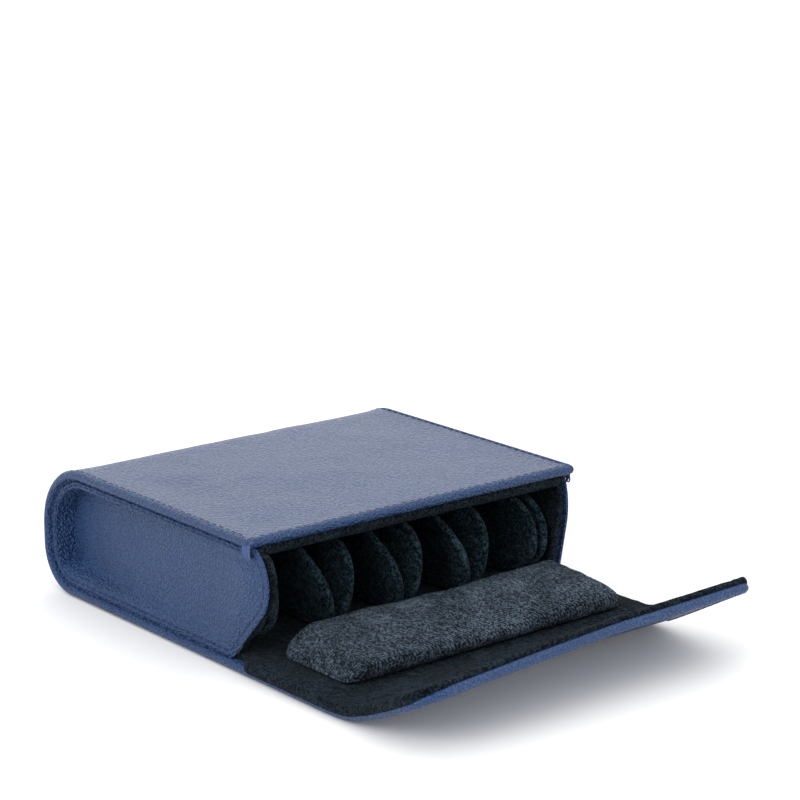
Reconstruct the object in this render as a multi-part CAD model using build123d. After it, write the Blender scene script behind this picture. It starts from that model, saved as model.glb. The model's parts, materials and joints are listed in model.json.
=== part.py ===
from build123d import *
import math
import os

# A leather jewellery case that opens like a purse: one leather sheet, stiffened with card, wraps the top,
# the rounded back and the base, and runs on past the base as a flap in three panels. Two recessed end
# gussets close the sides, and velvet dividers in pairs stand in the body. Everything is in millimetres.
# +X runs along the width, -Y is the open front, +Z is up. While a piece is being drawn, y is 0 at the
# front edge of the top; every piece is moved so that the origin is the middle of the base, on the table.

# ---- overall sizes -------------------------------------------------------------------------------
WIDTH = 140.0                # along the opening
DEPTH = 125.0                # front edge of the top to the back
HEIGHT = 46.0                # table to the top
BACK_TOP_ROUND = 23.5        # radius of the soft roll from the top into the back
BACK_BASE_ROUND = 16.0       # radius of the roll from the back into the base
BACK_STRAIGHT = 6.0          # least upright stretch of the back between the two rolls

# ---- the stack of sheets -------------------------------------------------------------------------
LEATHER = 1.0                # outer leather, also where it turns round an edge
BOARD = 1.8                  # card stiffener
VELVET = 2.0                 # velvet lining with its pile
STACK = LEATHER + BOARD + VELVET
SHELL = LEATHER + BOARD      # leather and board, the thickness of a turned edge
LINING_INSET = 1.0           # velvet held back from the turned leather edge
SEAM_GAP = 0.3               # running gap between panels that fold against each other

# ---- end gussets ---------------------------------------------------------------------------------
EDGE_OVERHANG = 2.0          # the cover stands this far beyond the gusset's flange
FLANGE = 3.3                 # width of the turned-out flange
RECESS = 8.5                 # how deep the gusset is pushed in at the back
RECESS_START = 8.0           # where the face begins to leave the flange, behind the front edge
GUSSET_BOARD = 1.0
NOSE_RADIUS = 15.0           # the round front of the gusset, which touches the top's plane
NOSE_FORWARD = 7.5           # how far the round stands out in front of the top's edge
NOSE_SLOPE = 48.0            # the straight part below the round, in degrees from level

# ---- the flap ------------------------------------------------------------------------------------
HINGE_Y = 6.5                # fold between base and flap, behind the top's front edge
FRONT_CLOSED = 66.0          # how far the front panel swings up when the case is shut
FOLD_REST = 13.0             # the fold strip's lift when the case lies open
FOLD_CLOSED = 123.0
LIP_REST = 27.0              # the lip's lift when the case lies open
LIP_CLOSED = 180.0
FOLD_WIDTH = 12.0            # soft strip without a board between front panel and lip
LIP_LENGTH = 43.0
LIP_CORNER = 12.0             # rounded corners of the lip
CLOSED_GAP = 0.5             # lip above the top when shut

# ---- the pad on the front panel ------------------------------------------------------------------
PAD_SIDE_MARGIN = 13.0
PAD_BACK_MARGIN = 4.0        # bare velvet between hinge and pad
PAD_FRONT_MARGIN = 1.5
PAD_HEIGHT = 11.5
PAD_ROUND = 4.5
PAD_COVER = 1.2

# ---- dividers ------------------------------------------------------------------------------------
PAIRS = 5
WALL_GAP_FRONT = 1.7         # outermost leaf to the gusset's velvet, at the leaf's front edge
WALL_GAP_BACK = 0.2          # and at its back edge, because the gussets run in
LEAF_CARD = 1.0
LEAF_VELVET = 1.2
LEAF_FRONT = 5.0             # front edge of a leaf, behind the top's edge
LEAF_BACK_GAP = 20.0         # free space between leaf and back lining
LEAF_HEADROOM = 6.4          # free space over a leaf
LEAF_LIFT = 0.6              # leaf above the floor lining, so that its foot can turn
LEAF_HALF_SPACING = 2.0      # half the distance between the feet of a pair
LEAF_NOSE_TOP = 14.0         # rounding of a leaf's front edge above and below
LEAF_NOSE_LOW = 13.0
LEAF_NOSE_STRAIGHT = 2.0     # least upright stretch between the two
LEAF_TILT = 6.0              # outward lean of a leaf
END_LEAF_TILT = 3.0          # lean of the inner leaf of an end pair, whose outer leaf is upright

# ---- small parts ---------------------------------------------------------------------------------
MAGNET_RADIUS = 5.0
MAGNET_THICKNESS = 1.2
MAGNET_SPACING = 80.0
MAGNET_FROM_FOLD = 33.0      # along the lip
STITCH_PITCH = 3.6
STITCH_LENGTH = 2.7
STITCH_WIDTH = 0.5
STITCH_HEIGHT = 0.2
STITCH_INSET = 2.3           # seam in from the edge
GROOVE_EXTRA = 0.2           # groove wider than its stitches
NOSE_STITCH_START = 130.0    # first stitch round the gusset's front, in degrees up from the back
TACK = 1.6
TACK_BACK = 1.0              # knot behind the top's front edge

# ---- worked out from the sizes above -------------------------------------------------------------
HALF = WIDTH / 2
BEYOND = 1.0                 # how far a cutting shape overshoots what it cuts
PAST_FRONT = 30.0            # shapes that are cut off at the front start this far out
BACK_FIT = min(1.0, (HEIGHT - BACK_STRAIGHT) / (BACK_TOP_ROUND + BACK_BASE_ROUND))
BACK_TOP_RADIUS = BACK_TOP_ROUND * BACK_FIT
BACK_BASE_RADIUS = BACK_BASE_ROUND * BACK_FIT
PIVOT_Z = LEATHER            # every panel folds about the inner face of the leather
LIP_CLOSED_Z = HEIGHT + CLOSED_GAP + STACK - PIVOT_Z
FRONT_LENGTH = (
    LIP_CLOSED_Z - PIVOT_Z - FOLD_WIDTH * math.sin(math.radians(FOLD_CLOSED))
) / math.sin(math.radians(FRONT_CLOSED))
LEAF_LOW = STACK + LEAF_LIFT
LEAF_HIGH = HEIGHT - STACK - LEAF_HEADROOM
LEAF_BACK = DEPTH - STACK - LEAF_BACK_GAP
LEAF_THICKNESS = LEAF_CARD + 2 * LEAF_VELVET
LEAF_TALL = LEAF_HIGH - LEAF_LOW
LEAF_NOSE_FIT = min(1.0, (LEAF_TALL - LEAF_NOSE_STRAIGHT) / (LEAF_NOSE_TOP + LEAF_NOSE_LOW))
INNER_HALF_FRONT = HALF - EDGE_OVERHANG - LEATHER - GUSSET_BOARD - VELVET
RECESS_AT_LEAF_BACK = RECESS * (LEAF_BACK - RECESS_START) / (DEPTH - RECESS_START)
OUTER_FOOT = LEAF_HALF_SPACING + LEAF_THICKNESS / 2
PITCH_FRONT = (INNER_HALF_FRONT - WALL_GAP_FRONT - OUTER_FOOT) / ((PAIRS - 1) / 2)
PITCH_BACK = (INNER_HALF_FRONT - RECESS_AT_LEAF_BACK - WALL_GAP_BACK - OUTER_FOOT) / ((PAIRS - 1) / 2)


def yz_prism(face, x_low, x_high):
    """A face drawn in (y, z), extruded along X."""
    return extrude(Plane.YZ.offset(x_low) * face, amount=x_high - x_low, dir=(1, 0, 0))


def plan_prism(points, height):
    """A polygon drawn in (x, y), extruded up from the table."""
    return extrude(Polygon(*points, align=None), amount=height, dir=(0, 0, 1))


def block(x_low, x_high, y_low, y_high, z_low, z_high):
    size = (x_high - x_low, y_high - y_low, z_high - z_low)
    middle = ((x_low + x_high) / 2, (y_low + y_high) / 2, (z_low + z_high) / 2)
    return Pos(*middle) * Box(*size)


def moved(place, piece):
    """Moves one solid, or each solid of a list."""
    return [place * solid for solid in piece] if isinstance(piece, list) else place * piece


# ---- the wrap of top, back and base --------------------------------------------------------------
def wrap_face(inset, front):
    """Side view of the body, open at the front, taken in by inset."""
    top, low, back = HEIGHT - inset, inset, DEPTH - inset
    r_top, r_low = BACK_TOP_RADIUS - inset, BACK_BASE_RADIUS - inset
    return make_face([
        Line((front, low), (back - r_low, low)),
        CenterArc((back - r_low, low + r_low), r_low, -90, 90),
        Line((back, low + r_low), (back, top - r_top)),
        CenterArc((back - r_top, top - r_top), r_top, 0, 90),
        Line((back - r_top, top), (front, top)),
        Line((front, top), (front, low)),
    ])


def wrap_sheet(outer, inner, half_width):
    """A sheet that follows the wrap, between two insets."""
    sheet = yz_prism(wrap_face(outer, -PAST_FRONT), -half_width, half_width)
    return sheet - yz_prism(wrap_face(inner, -PAST_FRONT), -half_width, half_width)


def cut_front(sheet, top_front):
    """Cuts a wrap sheet at the top's front edge and, mitred, at the hinge."""
    middle = HEIGHT / 2
    lean = math.tan(math.radians(FRONT_CLOSED / 2))
    foot = HINGE_Y + SEAM_GAP / 2
    outside = -PAST_FRONT - BEYOND
    mitre = Polygon(
        (outside, -BEYOND), (foot, -BEYOND), (foot, PIVOT_Z),
        (foot + (middle - PIVOT_Z) * lean, middle), (outside, middle),
        align=None,
    )
    sheet -= yz_prism(mitre, -WIDTH, WIDTH)
    return sheet - block(-WIDTH, WIDTH, outside, top_front, middle, HEIGHT + BEYOND)


def make_cover_leather():
    """One leather sheet, turned round the boards at the front edge and at both side edges."""
    sheet = cut_front(wrap_sheet(0, SHELL, HALF), 0)
    pocket = wrap_sheet(LEATHER, SHELL + BEYOND, HALF - LEATHER)
    pocket -= block(-WIDTH, WIDTH, -PAST_FRONT - BEYOND, LEATHER, HEIGHT / 2, HEIGHT)
    sheet -= pocket
    for row in top_seams():
        sheet -= row_groove(row, HEIGHT - STITCH_HEIGHT, HEIGHT)
    return sheet


def make_boards():
    """Stiff card in the top, the rounded back and the base."""
    card = cut_front(wrap_sheet(LEATHER, SHELL, HALF - LEATHER), LEATHER)
    bend_top = DEPTH - BACK_TOP_RADIUS
    bend_base = DEPTH - BACK_BASE_RADIUS
    middle = HEIGHT / 2
    top_zone = block(-WIDTH, WIDTH, -PAST_FRONT, bend_top, middle, HEIGHT)
    base_zone = block(-WIDTH, WIDTH, -PAST_FRONT, bend_base, 0, middle)
    top = card & top_zone
    for x, y in magnet_places(closed_magnet_y()):
        top -= magnet_disc(x, y, HEIGHT - LEATHER - MAGNET_THICKNESS)
    return {
        "top_board": top,
        "back_board": card - top_zone - base_zone,
        "base_board": card & base_zone,
    }


def make_body_lining():
    """Velvet over the inside of top, back and base."""
    inside = HALF - EDGE_OVERHANG - LEATHER - SEAM_GAP
    return cut_front(wrap_sheet(SHELL, STACK, inside), LINING_INSET)


# ---- end gussets ---------------------------------------------------------------------------------
def gusset_face(inset, front_inset):
    """Side view of a gusset: the wrap's outline closed by a round nose in front."""
    top, low, back = HEIGHT - inset, inset, DEPTH - inset
    r_top, r_low = BACK_TOP_RADIUS - inset, BACK_BASE_RADIUS - inset
    radius = NOSE_RADIUS - front_inset
    centre_y, centre_z = NOSE_RADIUS - NOSE_FORWARD, HEIGHT - NOSE_RADIUS
    slope = math.radians(NOSE_SLOPE)
    start = 180 - math.degrees(math.asin((top - centre_z) / radius))
    top_y = centre_y + radius * math.cos(math.radians(start))
    touch_y = centre_y - radius * math.sin(slope)
    touch_z = centre_z - radius * math.cos(slope)
    foot_y = touch_y + (touch_z - low) / math.tan(slope)
    return make_face([
        Line((foot_y, low), (back - r_low, low)),
        CenterArc((back - r_low, low + r_low), r_low, -90, 90),
        Line((back, low + r_low), (back, top - r_top)),
        CenterArc((back - r_top, top - r_top), r_top, 0, 90),
        Line((back - r_top, top), (top_y, top)),
        CenterArc((centre_y, centre_z), radius, start, 270 - NOSE_SLOPE - start),
        Line((touch_y, touch_z), (foot_y, low)),
    ])


def recess_band(near, far):
    """Plan strip between two depths behind the gusset's slanted outer face, left side."""
    flush = -HALF + EDGE_OVERHANG
    return plan_prism([
        (flush + near, -PAST_FRONT), (flush + near, RECESS_START), (flush + RECESS + near, DEPTH),
        (flush + RECESS + far, DEPTH), (flush + far, RECESS_START), (flush + far, -PAST_FRONT),
    ], HEIGHT)


def make_gusset_leather():
    """Left gusset: a flange sewn to the cover, and a face pushed in more and more to the back."""
    flush = -HALF + EDGE_OVERHANG
    deep = flush + RECESS + LEATHER
    flange = yz_prism(gusset_face(SHELL, 0), flush, flush + LEATHER)
    tray = yz_prism(gusset_face(SHELL + FLANGE, 0), flush, deep)
    tray &= recess_band(-RECESS - BEYOND, LEATHER)
    hollow = yz_prism(gusset_face(SHELL + FLANGE + LEATHER, LEATHER), flush - BEYOND, deep)
    return flange + tray - (hollow & recess_band(-RECESS - BEYOND, 0))


def make_gusset_board():
    """Left stiffener behind the leather; the soft front of the gusset has none."""
    plate = yz_prism(gusset_face(STACK + SEAM_GAP, 0), -HALF, 0)
    plate &= recess_band(LEATHER, LEATHER + GUSSET_BOARD)
    return plate - block(-WIDTH, WIDTH, -PAST_FRONT, RECESS_START + LEATHER, -BEYOND, HEIGHT + BEYOND)


def make_gusset_lining():
    """Left velvet, which shows as a soft rim along the gusset's round front."""
    depth = LEATHER + GUSSET_BOARD
    plate = yz_prism(gusset_face(STACK + SEAM_GAP, LINING_INSET), -HALF, 0)
    return plate & recess_band(depth, depth + VELVET)


# ---- flap panels ---------------------------------------------------------------------------------
def panel_face(low, high, length, start_fold, end_fold):
    """Side view of one flap panel, drawn flat and forwards from its fold, with mitred ends.

    The folds close by start_fold and end_fold degrees; 0 means a free end."""
    def ends(z):
        rise = max(0, z - PIVOT_Z)
        first = SEAM_GAP / 2 + rise * math.tan(math.radians(start_fold / 2)) if start_fold else 0
        last = SEAM_GAP / 2 + rise * math.tan(math.radians(end_fold / 2)) if end_fold else 0
        return -first, last - length

    levels = sorted({low, min(max(low, PIVOT_Z), high), high})
    outline = [(ends(z)[0], z) for z in levels] + [(ends(z)[1], z) for z in reversed(levels)]
    return Polygon(*outline, align=None)


def panel_place(panel):
    """Where a panel drawn flat, forwards from y 0, lies when the case is open."""
    start_y, start_z, lift = HINGE_Y, PIVOT_Z, 0.0
    for name, length, angle in (("front", FRONT_LENGTH, 0.0), ("fold", FOLD_WIDTH, FOLD_REST)):
        if name == panel:
            return start_y, start_z, angle
        start_y -= length * math.cos(math.radians(angle))
        start_z += length * math.sin(math.radians(angle))
        lift = LIP_REST
    return start_y, start_z, lift


def lay(piece, panel):
    """Moves a panel piece from its flat drawing to its place on the open case."""
    y, z, angle = panel_place(panel)
    return moved(Pos(0, y, z) * Rot(-angle, 0, 0) * Pos(0, 0, -PIVOT_Z), piece)


def lip_outline(inset):
    """Plan of the lip with its two rounded front corners."""
    half, radius = HALF - inset, LIP_CORNER - inset
    front = -LIP_LENGTH + inset
    return make_face([
        Line((-half, BEYOND), (-half, front + radius)),
        CenterArc((-half + radius, front + radius), radius, 180, 90),
        Line((-half + radius, front), (half - radius, front)),
        CenterArc((half - radius, front + radius), radius, 270, 90),
        Line((half, front + radius), (half, BEYOND)),
        Line((half, BEYOND), (-half, BEYOND)),
    ])


FRONT_FOLDS = (FRONT_CLOSED, FOLD_CLOSED - FRONT_CLOSED)
FOLD_FOLDS = (FOLD_CLOSED - FRONT_CLOSED, LIP_CLOSED - FOLD_CLOSED)
LIP_FOLDS = (LIP_CLOSED - FOLD_CLOSED, 0)


def make_front_panel():
    """The front panel: leather turned round a card, and velvet on its inner face."""
    whole = panel_face(0, SHELL, FRONT_LENGTH, *FRONT_FOLDS)
    card = yz_prism(panel_face(LEATHER, SHELL, FRONT_LENGTH, *FRONT_FOLDS), LEATHER - HALF, HALF - LEATHER)
    leather = yz_prism(whole, -HALF, HALF) - card
    for row in panel_seams(FRONT_LENGTH, False):
        leather -= row_groove(row, 0, STITCH_HEIGHT)
    velvet = panel_face(SHELL, STACK, FRONT_LENGTH, *FRONT_FOLDS)
    lining = yz_prism(velvet, LINING_INSET - HALF, HALF - LINING_INSET)
    return {"front_leather": leather, "front_board": card, "front_lining": lining}


def make_fold_panel():
    """The fold strip: leather and velvet only, so that it bends."""
    leather = yz_prism(panel_face(0, LEATHER, FOLD_WIDTH, *FOLD_FOLDS), -HALF, HALF)
    velvet = panel_face(LEATHER, LEATHER + VELVET, FOLD_WIDTH, *FOLD_FOLDS)
    lining = yz_prism(velvet, LINING_INSET - HALF, HALF - LINING_INSET)
    return {"fold_leather": leather, "fold_lining": lining}


def make_lip_panel():
    """The lip: leather turned round a card that holds the magnets, and velvet on its inner face."""
    def layer(low, high, inset):
        plan = extrude(lip_outline(inset), amount=STACK)
        side = panel_face(low, high, LIP_LENGTH, *LIP_FOLDS)
        return plan & yz_prism(side, -HALF, HALF)

    card = layer(LEATHER, SHELL, LEATHER)
    leather = layer(0, SHELL, 0) - card
    for row in panel_seams(LIP_LENGTH, True):
        leather -= row_groove(row, 0, STITCH_HEIGHT)
    for x, y in magnet_places(-MAGNET_FROM_FOLD):
        card -= magnet_disc(x, y, LEATHER)
    return {"lip_leather": leather, "lip_board": card, "lip_lining": layer(SHELL, STACK, LINING_INSET)}


def make_pad():
    """The thick pad on the front panel: foam in a velvet cover that is open where it is glued down."""
    back = -PAD_BACK_MARGIN
    front = PAD_FRONT_MARGIN - FRONT_LENGTH
    side = HALF - PAD_SIDE_MARGIN
    body = block(-side, side, front, back, STACK, STACK + PAD_HEIGHT)
    body = fillet(body.edges().filter_by(Axis.Z) + body.faces().sort_by(Axis.Z)[-1].edges(), PAD_ROUND)
    shrink = PAD_COVER
    foam = block(
        -side + shrink, side - shrink, front + shrink, back - shrink, STACK, STACK + PAD_HEIGHT - shrink
    )
    edges = foam.edges().filter_by(Axis.Z) + foam.faces().sort_by(Axis.Z)[-1].edges()
    foam = fillet(edges, PAD_ROUND - shrink)
    return {"pad_cover": body - foam, "pad_foam": foam}


# ---- dividers ------------------------------------------------------------------------------------
def leaf_face(inset):
    """Side view of a divider leaf, with a round front, as (y, z) from its foot."""
    front, back = LEAF_FRONT + inset, LEAF_BACK - inset
    low, high = inset, LEAF_TALL - inset
    r_top, r_low = LEAF_NOSE_TOP * LEAF_NOSE_FIT - inset, LEAF_NOSE_LOW * LEAF_NOSE_FIT - inset
    return make_face([
        Line((front + r_low, low), (back, low)),
        Line((back, low), (back, high)),
        Line((back, high), (front + r_top, high)),
        CenterArc((front + r_top, high - r_top), r_top, 90, 90),
        Line((front, high - r_top), (front, low + r_low)),
        CenterArc((front + r_low, low + r_low), r_low, 180, 90),
    ])


def leaf_place(pair, side):
    """Foot of a leaf at its front and back, and its outward lean in degrees."""
    step = pair - (PAIRS - 1) / 2
    front_x = step * PITCH_FRONT + side * LEAF_HALF_SPACING
    back_x = step * PITCH_BACK + side * LEAF_HALF_SPACING
    end_pair = abs(step) == (PAIRS - 1) / 2
    outer = end_pair and side * step > 0
    lean = 0.0 if outer else END_LEAF_TILT if end_pair else LEAF_TILT
    return front_x, back_x, side * lean


def make_leaf(pair, side):
    """One leaf: a card in a velvet sleeve, standing on its foot and leaning away from its partner."""
    velvet = yz_prism(leaf_face(0), -LEAF_THICKNESS / 2, LEAF_THICKNESS / 2)
    card = yz_prism(leaf_face(LEAF_VELVET), -LEAF_CARD / 2, LEAF_CARD / 2)
    front_x, back_x, lean = leaf_place(pair, side)
    turn = math.degrees(math.atan2(front_x - back_x, LEAF_BACK - LEAF_FRONT))
    stand = Pos(front_x, LEAF_FRONT, LEAF_LOW) * Rot(0, 0, turn) * Rot(0, lean, 0) * Pos(0, -LEAF_FRONT, 0)
    return stand * (velvet - card), stand * card


# ---- magnets, stitching and tacks ----------------------------------------------------------------
def magnet_places(y):
    return [(-MAGNET_SPACING / 2, y), (MAGNET_SPACING / 2, y)]


def magnet_disc(x, y, low):
    return Pos(x, y, low + MAGNET_THICKNESS / 2) * Cylinder(MAGNET_RADIUS, MAGNET_THICKNESS)


def closed_magnet_y():
    """Where the lip's magnets come to rest over the top when the case is shut."""
    front = FRONT_LENGTH * math.cos(math.radians(FRONT_CLOSED))
    fold = FOLD_WIDTH * math.cos(math.radians(FOLD_CLOSED))
    return HINGE_Y - front - fold + MAGNET_FROM_FOLD


def top_seams():
    """Seam lines on the top, as ((x, y), (x, y)): along the front and down both sides."""
    side, front = HALF - STITCH_INSET, STITCH_INSET
    back = DEPTH - BACK_TOP_RADIUS
    start = front + STITCH_PITCH
    return [
        ((-side, front), (side, front)),
        ((-side, start), (-side, back)),
        ((side, start), (side, back)),
    ]


def panel_seams(length, across_end):
    """Seam lines on the outside of a flap panel, drawn flat and forwards from its fold."""
    side = HALF - STITCH_INSET
    end = LIP_CORNER if across_end else STITCH_INSET
    rows = [((x, -STITCH_INSET), (x, end - length)) for x in (-side, side)]
    if across_end:
        rows.append(((LIP_CORNER - side, STITCH_INSET - length), (side - LIP_CORNER, STITCH_INSET - length)))
    return rows


def row_box(start, end, half_width, low, high):
    """A level bar along a straight row, which runs along X or along Y."""
    (x0, y0), (x1, y1) = start, end
    return block(
        min(x0, x1) - half_width, max(x0, x1) + half_width,
        min(y0, y1) - half_width, max(y0, y1) + half_width, low, high,
    )


def row_groove(row, low, high):
    return row_box(*row, (STITCH_WIDTH + GROOVE_EXTRA) / 2, low, high)


def row_stitches(row, low, high):
    """The stitches of one straight row, centred on it."""
    (x0, y0), (x1, y1) = row
    length = math.hypot(x1 - x0, y1 - y0)
    along = ((x1 - x0) / length, (y1 - y0) / length)
    count = int(length // STITCH_PITCH)
    spare = (length - count * STITCH_PITCH + STITCH_PITCH - STITCH_LENGTH) / 2
    bare = STITCH_LENGTH - STITCH_WIDTH
    stitches = []
    for number in range(count):
        begin = spare + STITCH_WIDTH / 2 + number * STITCH_PITCH
        start = (x0 + along[0] * begin, y0 + along[1] * begin)
        end = (start[0] + along[0] * bare, start[1] + along[1] * bare)
        stitches.append(row_box(start, end, STITCH_WIDTH / 2, low, high))
    return stitches


def make_nose_stitches():
    """Left gusset: stitches round the front of the flange."""
    radius = NOSE_RADIUS - STITCH_INSET
    centre_y, centre_z = NOSE_RADIUS - NOSE_FORWARD, HEIGHT - NOSE_RADIUS
    first, last = math.radians(NOSE_STITCH_START), math.radians(270 - NOSE_SLOPE)
    count = int(radius * (last - first) // STITCH_PITCH)
    step = (last - first) / count
    x = -HALF + EDGE_OVERHANG - STITCH_HEIGHT / 2
    stitches = []
    for number in range(count + 1):
        angle = first + number * step
        place = Pos(x, centre_y + radius * math.cos(angle), centre_z + radius * math.sin(angle))
        stitches.append(
            place * Rot(math.degrees(angle), 0, 0) * Box(STITCH_HEIGHT, STITCH_WIDTH, STITCH_LENGTH)
        )
    return stitches


def make_tack():
    """Left thread knot that ties the gusset to the top's front corner."""
    return block(
        -HALF + EDGE_OVERHANG - TACK / 2, -HALF + EDGE_OVERHANG,
        TACK_BACK, TACK_BACK + TACK, HEIGHT - SHELL - TACK, HEIGHT - SHELL,
    )


# ---- everything together -------------------------------------------------------------------------
def mirrored(piece):
    """The right-hand copy of a left-hand solid or list of solids."""
    if isinstance(piece, list):
        return [mirror(solid, about=Plane.YZ) for solid in piece]
    return mirror(piece, about=Plane.YZ)


def all_pieces():
    pieces = {"cover_leather": make_cover_leather(), "body_lining": make_body_lining()}
    pieces.update(make_boards())
    for name, shape in (
        ("gusset_leather", make_gusset_leather()),
        ("gusset_board", make_gusset_board()),
        ("gusset_lining", make_gusset_lining()),
        ("corner_tack", make_tack()),
        ("gusset_stitching", make_nose_stitches()),
    ):
        pieces[name + "_left"] = shape
        pieces[name + "_right"] = mirrored(shape)
    for panel, parts in (("front", make_front_panel()), ("fold", make_fold_panel()), ("lip", make_lip_panel())):
        for name, shape in parts.items():
            pieces[name] = lay(shape, panel)
    for name, shape in make_pad().items():
        pieces[name] = lay(shape, "front")
    for pair in range(PAIRS):
        for side, word in ((-1, "left"), (1, "right")):
            velvet, card = make_leaf(pair, side)
            pieces[f"divider_{pair + 1}_{word}_velvet"] = velvet
            pieces[f"divider_{pair + 1}_{word}_card"] = card
    for number, (x, y) in enumerate(magnet_places(closed_magnet_y()), start=1):
        pieces[f"top_magnet_{number}"] = magnet_disc(x, y, HEIGHT - LEATHER - MAGNET_THICKNESS)
    for number, (x, y) in enumerate(magnet_places(-MAGNET_FROM_FOLD), start=1):
        pieces[f"lip_magnet_{number}"] = lay(magnet_disc(x, y, LEATHER), "lip")
    top_rows = [row_stitches(row, HEIGHT - STITCH_HEIGHT, HEIGHT) for row in top_seams()]
    pieces["top_stitching"] = sum(top_rows, [])
    for panel, length, across_end in (("front", FRONT_LENGTH, False), ("lip", LIP_LENGTH, True)):
        rows = [row_stitches(row, 0, STITCH_HEIGHT) for row in panel_seams(length, across_end)]
        pieces[panel + "_stitching"] = lay(sum(rows, []), panel)
    return pieces


os.makedirs("parts", exist_ok=True)
for name, piece in all_pieces().items():
    piece = moved(Pos(0, -DEPTH / 2, 0), piece)
    shape = Compound(children=piece) if isinstance(piece, list) else piece
    export_step(shape, f"parts/{name}.step")

fold_y, fold_z, _ = panel_place("fold")
lip_y, lip_z, _ = panel_place("lip")
print(f"front panel {FRONT_LENGTH:.2f} long, hinge at y {HINGE_Y - DEPTH / 2:.2f}, z {PIVOT_Z:.2f}")
print(f"fold line at y {fold_y - DEPTH / 2:.3f}, z {fold_z:.3f}")
print(f"lip line at y {lip_y - DEPTH / 2:.3f}, z {lip_z:.3f}")
for pair in range(PAIRS):
    for side in (-1, 1):
        front_x, back_x, lean = leaf_place(pair, side)
        print(f"leaf {pair + 1} {side:+d}: foot x {front_x:.3f} to {back_x:.3f}, lean {lean:.1f}")
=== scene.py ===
import json
import math
import random

import bmesh
import bpy
import numpy as np
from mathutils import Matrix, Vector, noise
from mathutils.geometry import delaunay_2d_cdt


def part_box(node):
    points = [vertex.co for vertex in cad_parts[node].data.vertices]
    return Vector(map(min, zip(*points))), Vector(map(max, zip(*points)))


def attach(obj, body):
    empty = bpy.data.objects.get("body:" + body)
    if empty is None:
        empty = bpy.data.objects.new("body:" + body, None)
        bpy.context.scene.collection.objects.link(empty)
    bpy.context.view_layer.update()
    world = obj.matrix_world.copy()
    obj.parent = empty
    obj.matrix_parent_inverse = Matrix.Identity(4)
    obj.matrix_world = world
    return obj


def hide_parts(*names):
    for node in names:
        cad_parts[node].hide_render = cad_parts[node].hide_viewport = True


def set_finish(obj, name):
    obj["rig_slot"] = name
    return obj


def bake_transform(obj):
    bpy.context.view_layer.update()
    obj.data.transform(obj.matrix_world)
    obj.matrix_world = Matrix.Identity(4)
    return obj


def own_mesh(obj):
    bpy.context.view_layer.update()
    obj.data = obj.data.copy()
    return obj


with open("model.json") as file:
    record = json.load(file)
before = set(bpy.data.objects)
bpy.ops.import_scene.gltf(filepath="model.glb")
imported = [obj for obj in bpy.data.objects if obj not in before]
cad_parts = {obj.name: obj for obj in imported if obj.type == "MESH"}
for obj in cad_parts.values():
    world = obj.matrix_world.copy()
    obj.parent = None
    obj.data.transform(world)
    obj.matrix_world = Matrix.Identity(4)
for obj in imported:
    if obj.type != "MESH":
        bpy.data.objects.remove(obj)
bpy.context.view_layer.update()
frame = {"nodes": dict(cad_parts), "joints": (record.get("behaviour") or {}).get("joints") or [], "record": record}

# A leather jewellery case, open: one blue leather sheet wraps the top, the round back and the base, and runs
# on as a flap with a padded velvet inside. Two recessed gussets close the ends, and pairs of velvet leaves
# stand in the body. Metres, +X along the width, -Y out of the open front, +Z up, origin under the base.

MM = 0.001
JOINTS = {joint["name"]: joint for joint in frame["joints"]}
BODY_OF = {node: body for body, nodes in frame["record"]["behaviour"]["bodies"].items() for node in nodes}


def pivot(joint):
    """A joint's place in the side view, as (y, z)."""
    return np.array(JOINTS[joint]["pos_m"][1:])


# ---- sizes read from the frame -------------------------------------------------------------------
COVER_LOW, COVER_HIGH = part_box("cover_leather")
HALF = COVER_HIGH.x
FRONT = COVER_LOW.y
BACK = COVER_HIGH.y
TOP = COVER_HIGH.z
LEATHER = pivot("front_hinge")[1]
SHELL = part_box("front_lining")[0].z
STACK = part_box("front_lining")[1].z
FOLD_LIFT = math.atan2(*(pivot("lip_hinge") - pivot("fold_hinge"))[::-1] * (1, -1))
LIP_LIFT = FOLD_LIFT - math.radians(JOINTS["lip_hinge"]["range_deg"][0])
LIP_LENGTH = (
    pivot("lip_hinge")[0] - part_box("lip_leather")[0].y - LEATHER * math.sin(LIP_LIFT)
) / math.cos(LIP_LIFT)
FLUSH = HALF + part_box("gusset_leather_left")[0].x    # how far the cover stands beyond a gusset
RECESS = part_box("gusset_leather_left")[1].x + HALF - FLUSH - LEATHER
LINING_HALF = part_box("body_lining")[1].x
FLAP_VELVET_HALF = HALF + 0.5 * MM      # the pile hangs over the flap's side edges

# ---- sizes of the soft detail --------------------------------------------------------------------
BACK_TOP_ROUND = 23.5 * MM
BACK_BASE_ROUND = 16 * MM
FOLD_ROUND = 12 * MM
LIP_ROUND = 14 * MM
COVER_CORNER = 2.2 * MM
LIP_CORNER = 13 * MM         # the left one; the right one is pulled square
LIP_CORNER_RIGHT = 5.5 * MM
SEAM_IN = 2.3 * MM
STITCH_PITCH = 3.6 * MM
STITCH_LENGTH = 2.9 * MM
THREAD = 0.23 * MM           # half the thread's thickness
FLANGE = 3.3 * MM
NOSE_ROUND = 15 * MM
NOSE_FORWARD = 7.5 * MM
NOSE_SLOPE = math.radians(48)
RECESS_START = FRONT + 8 * MM
GUSSET_CARD = 1 * MM
VELVET = STACK - SHELL
VELVET_INSET = 1 * MM         # the velvet stops this far inside the leather's two ends
RIGHT_NOSE_SLOPE = math.radians(65)
RIGHT_NOSE_OUT = 0.42         # share of the right gusset's soft front that still stands out of the mouth
RIGHT_KNOT_BACK = 3.2 * MM
LEAF_PAIRS = 5
LEAF_ROUNDS = {               # (deep, share of the height) of a leaf's upper and lower front roundings
    "left": ((24 * MM, 0.56), (8.5 * MM, 0.43)),
    "right": ((14 * MM, 0.48), (10 * MM, 0.46)),
    "end": ((15 * MM, 0.48), (20 * MM, 0.48)),
}
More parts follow.
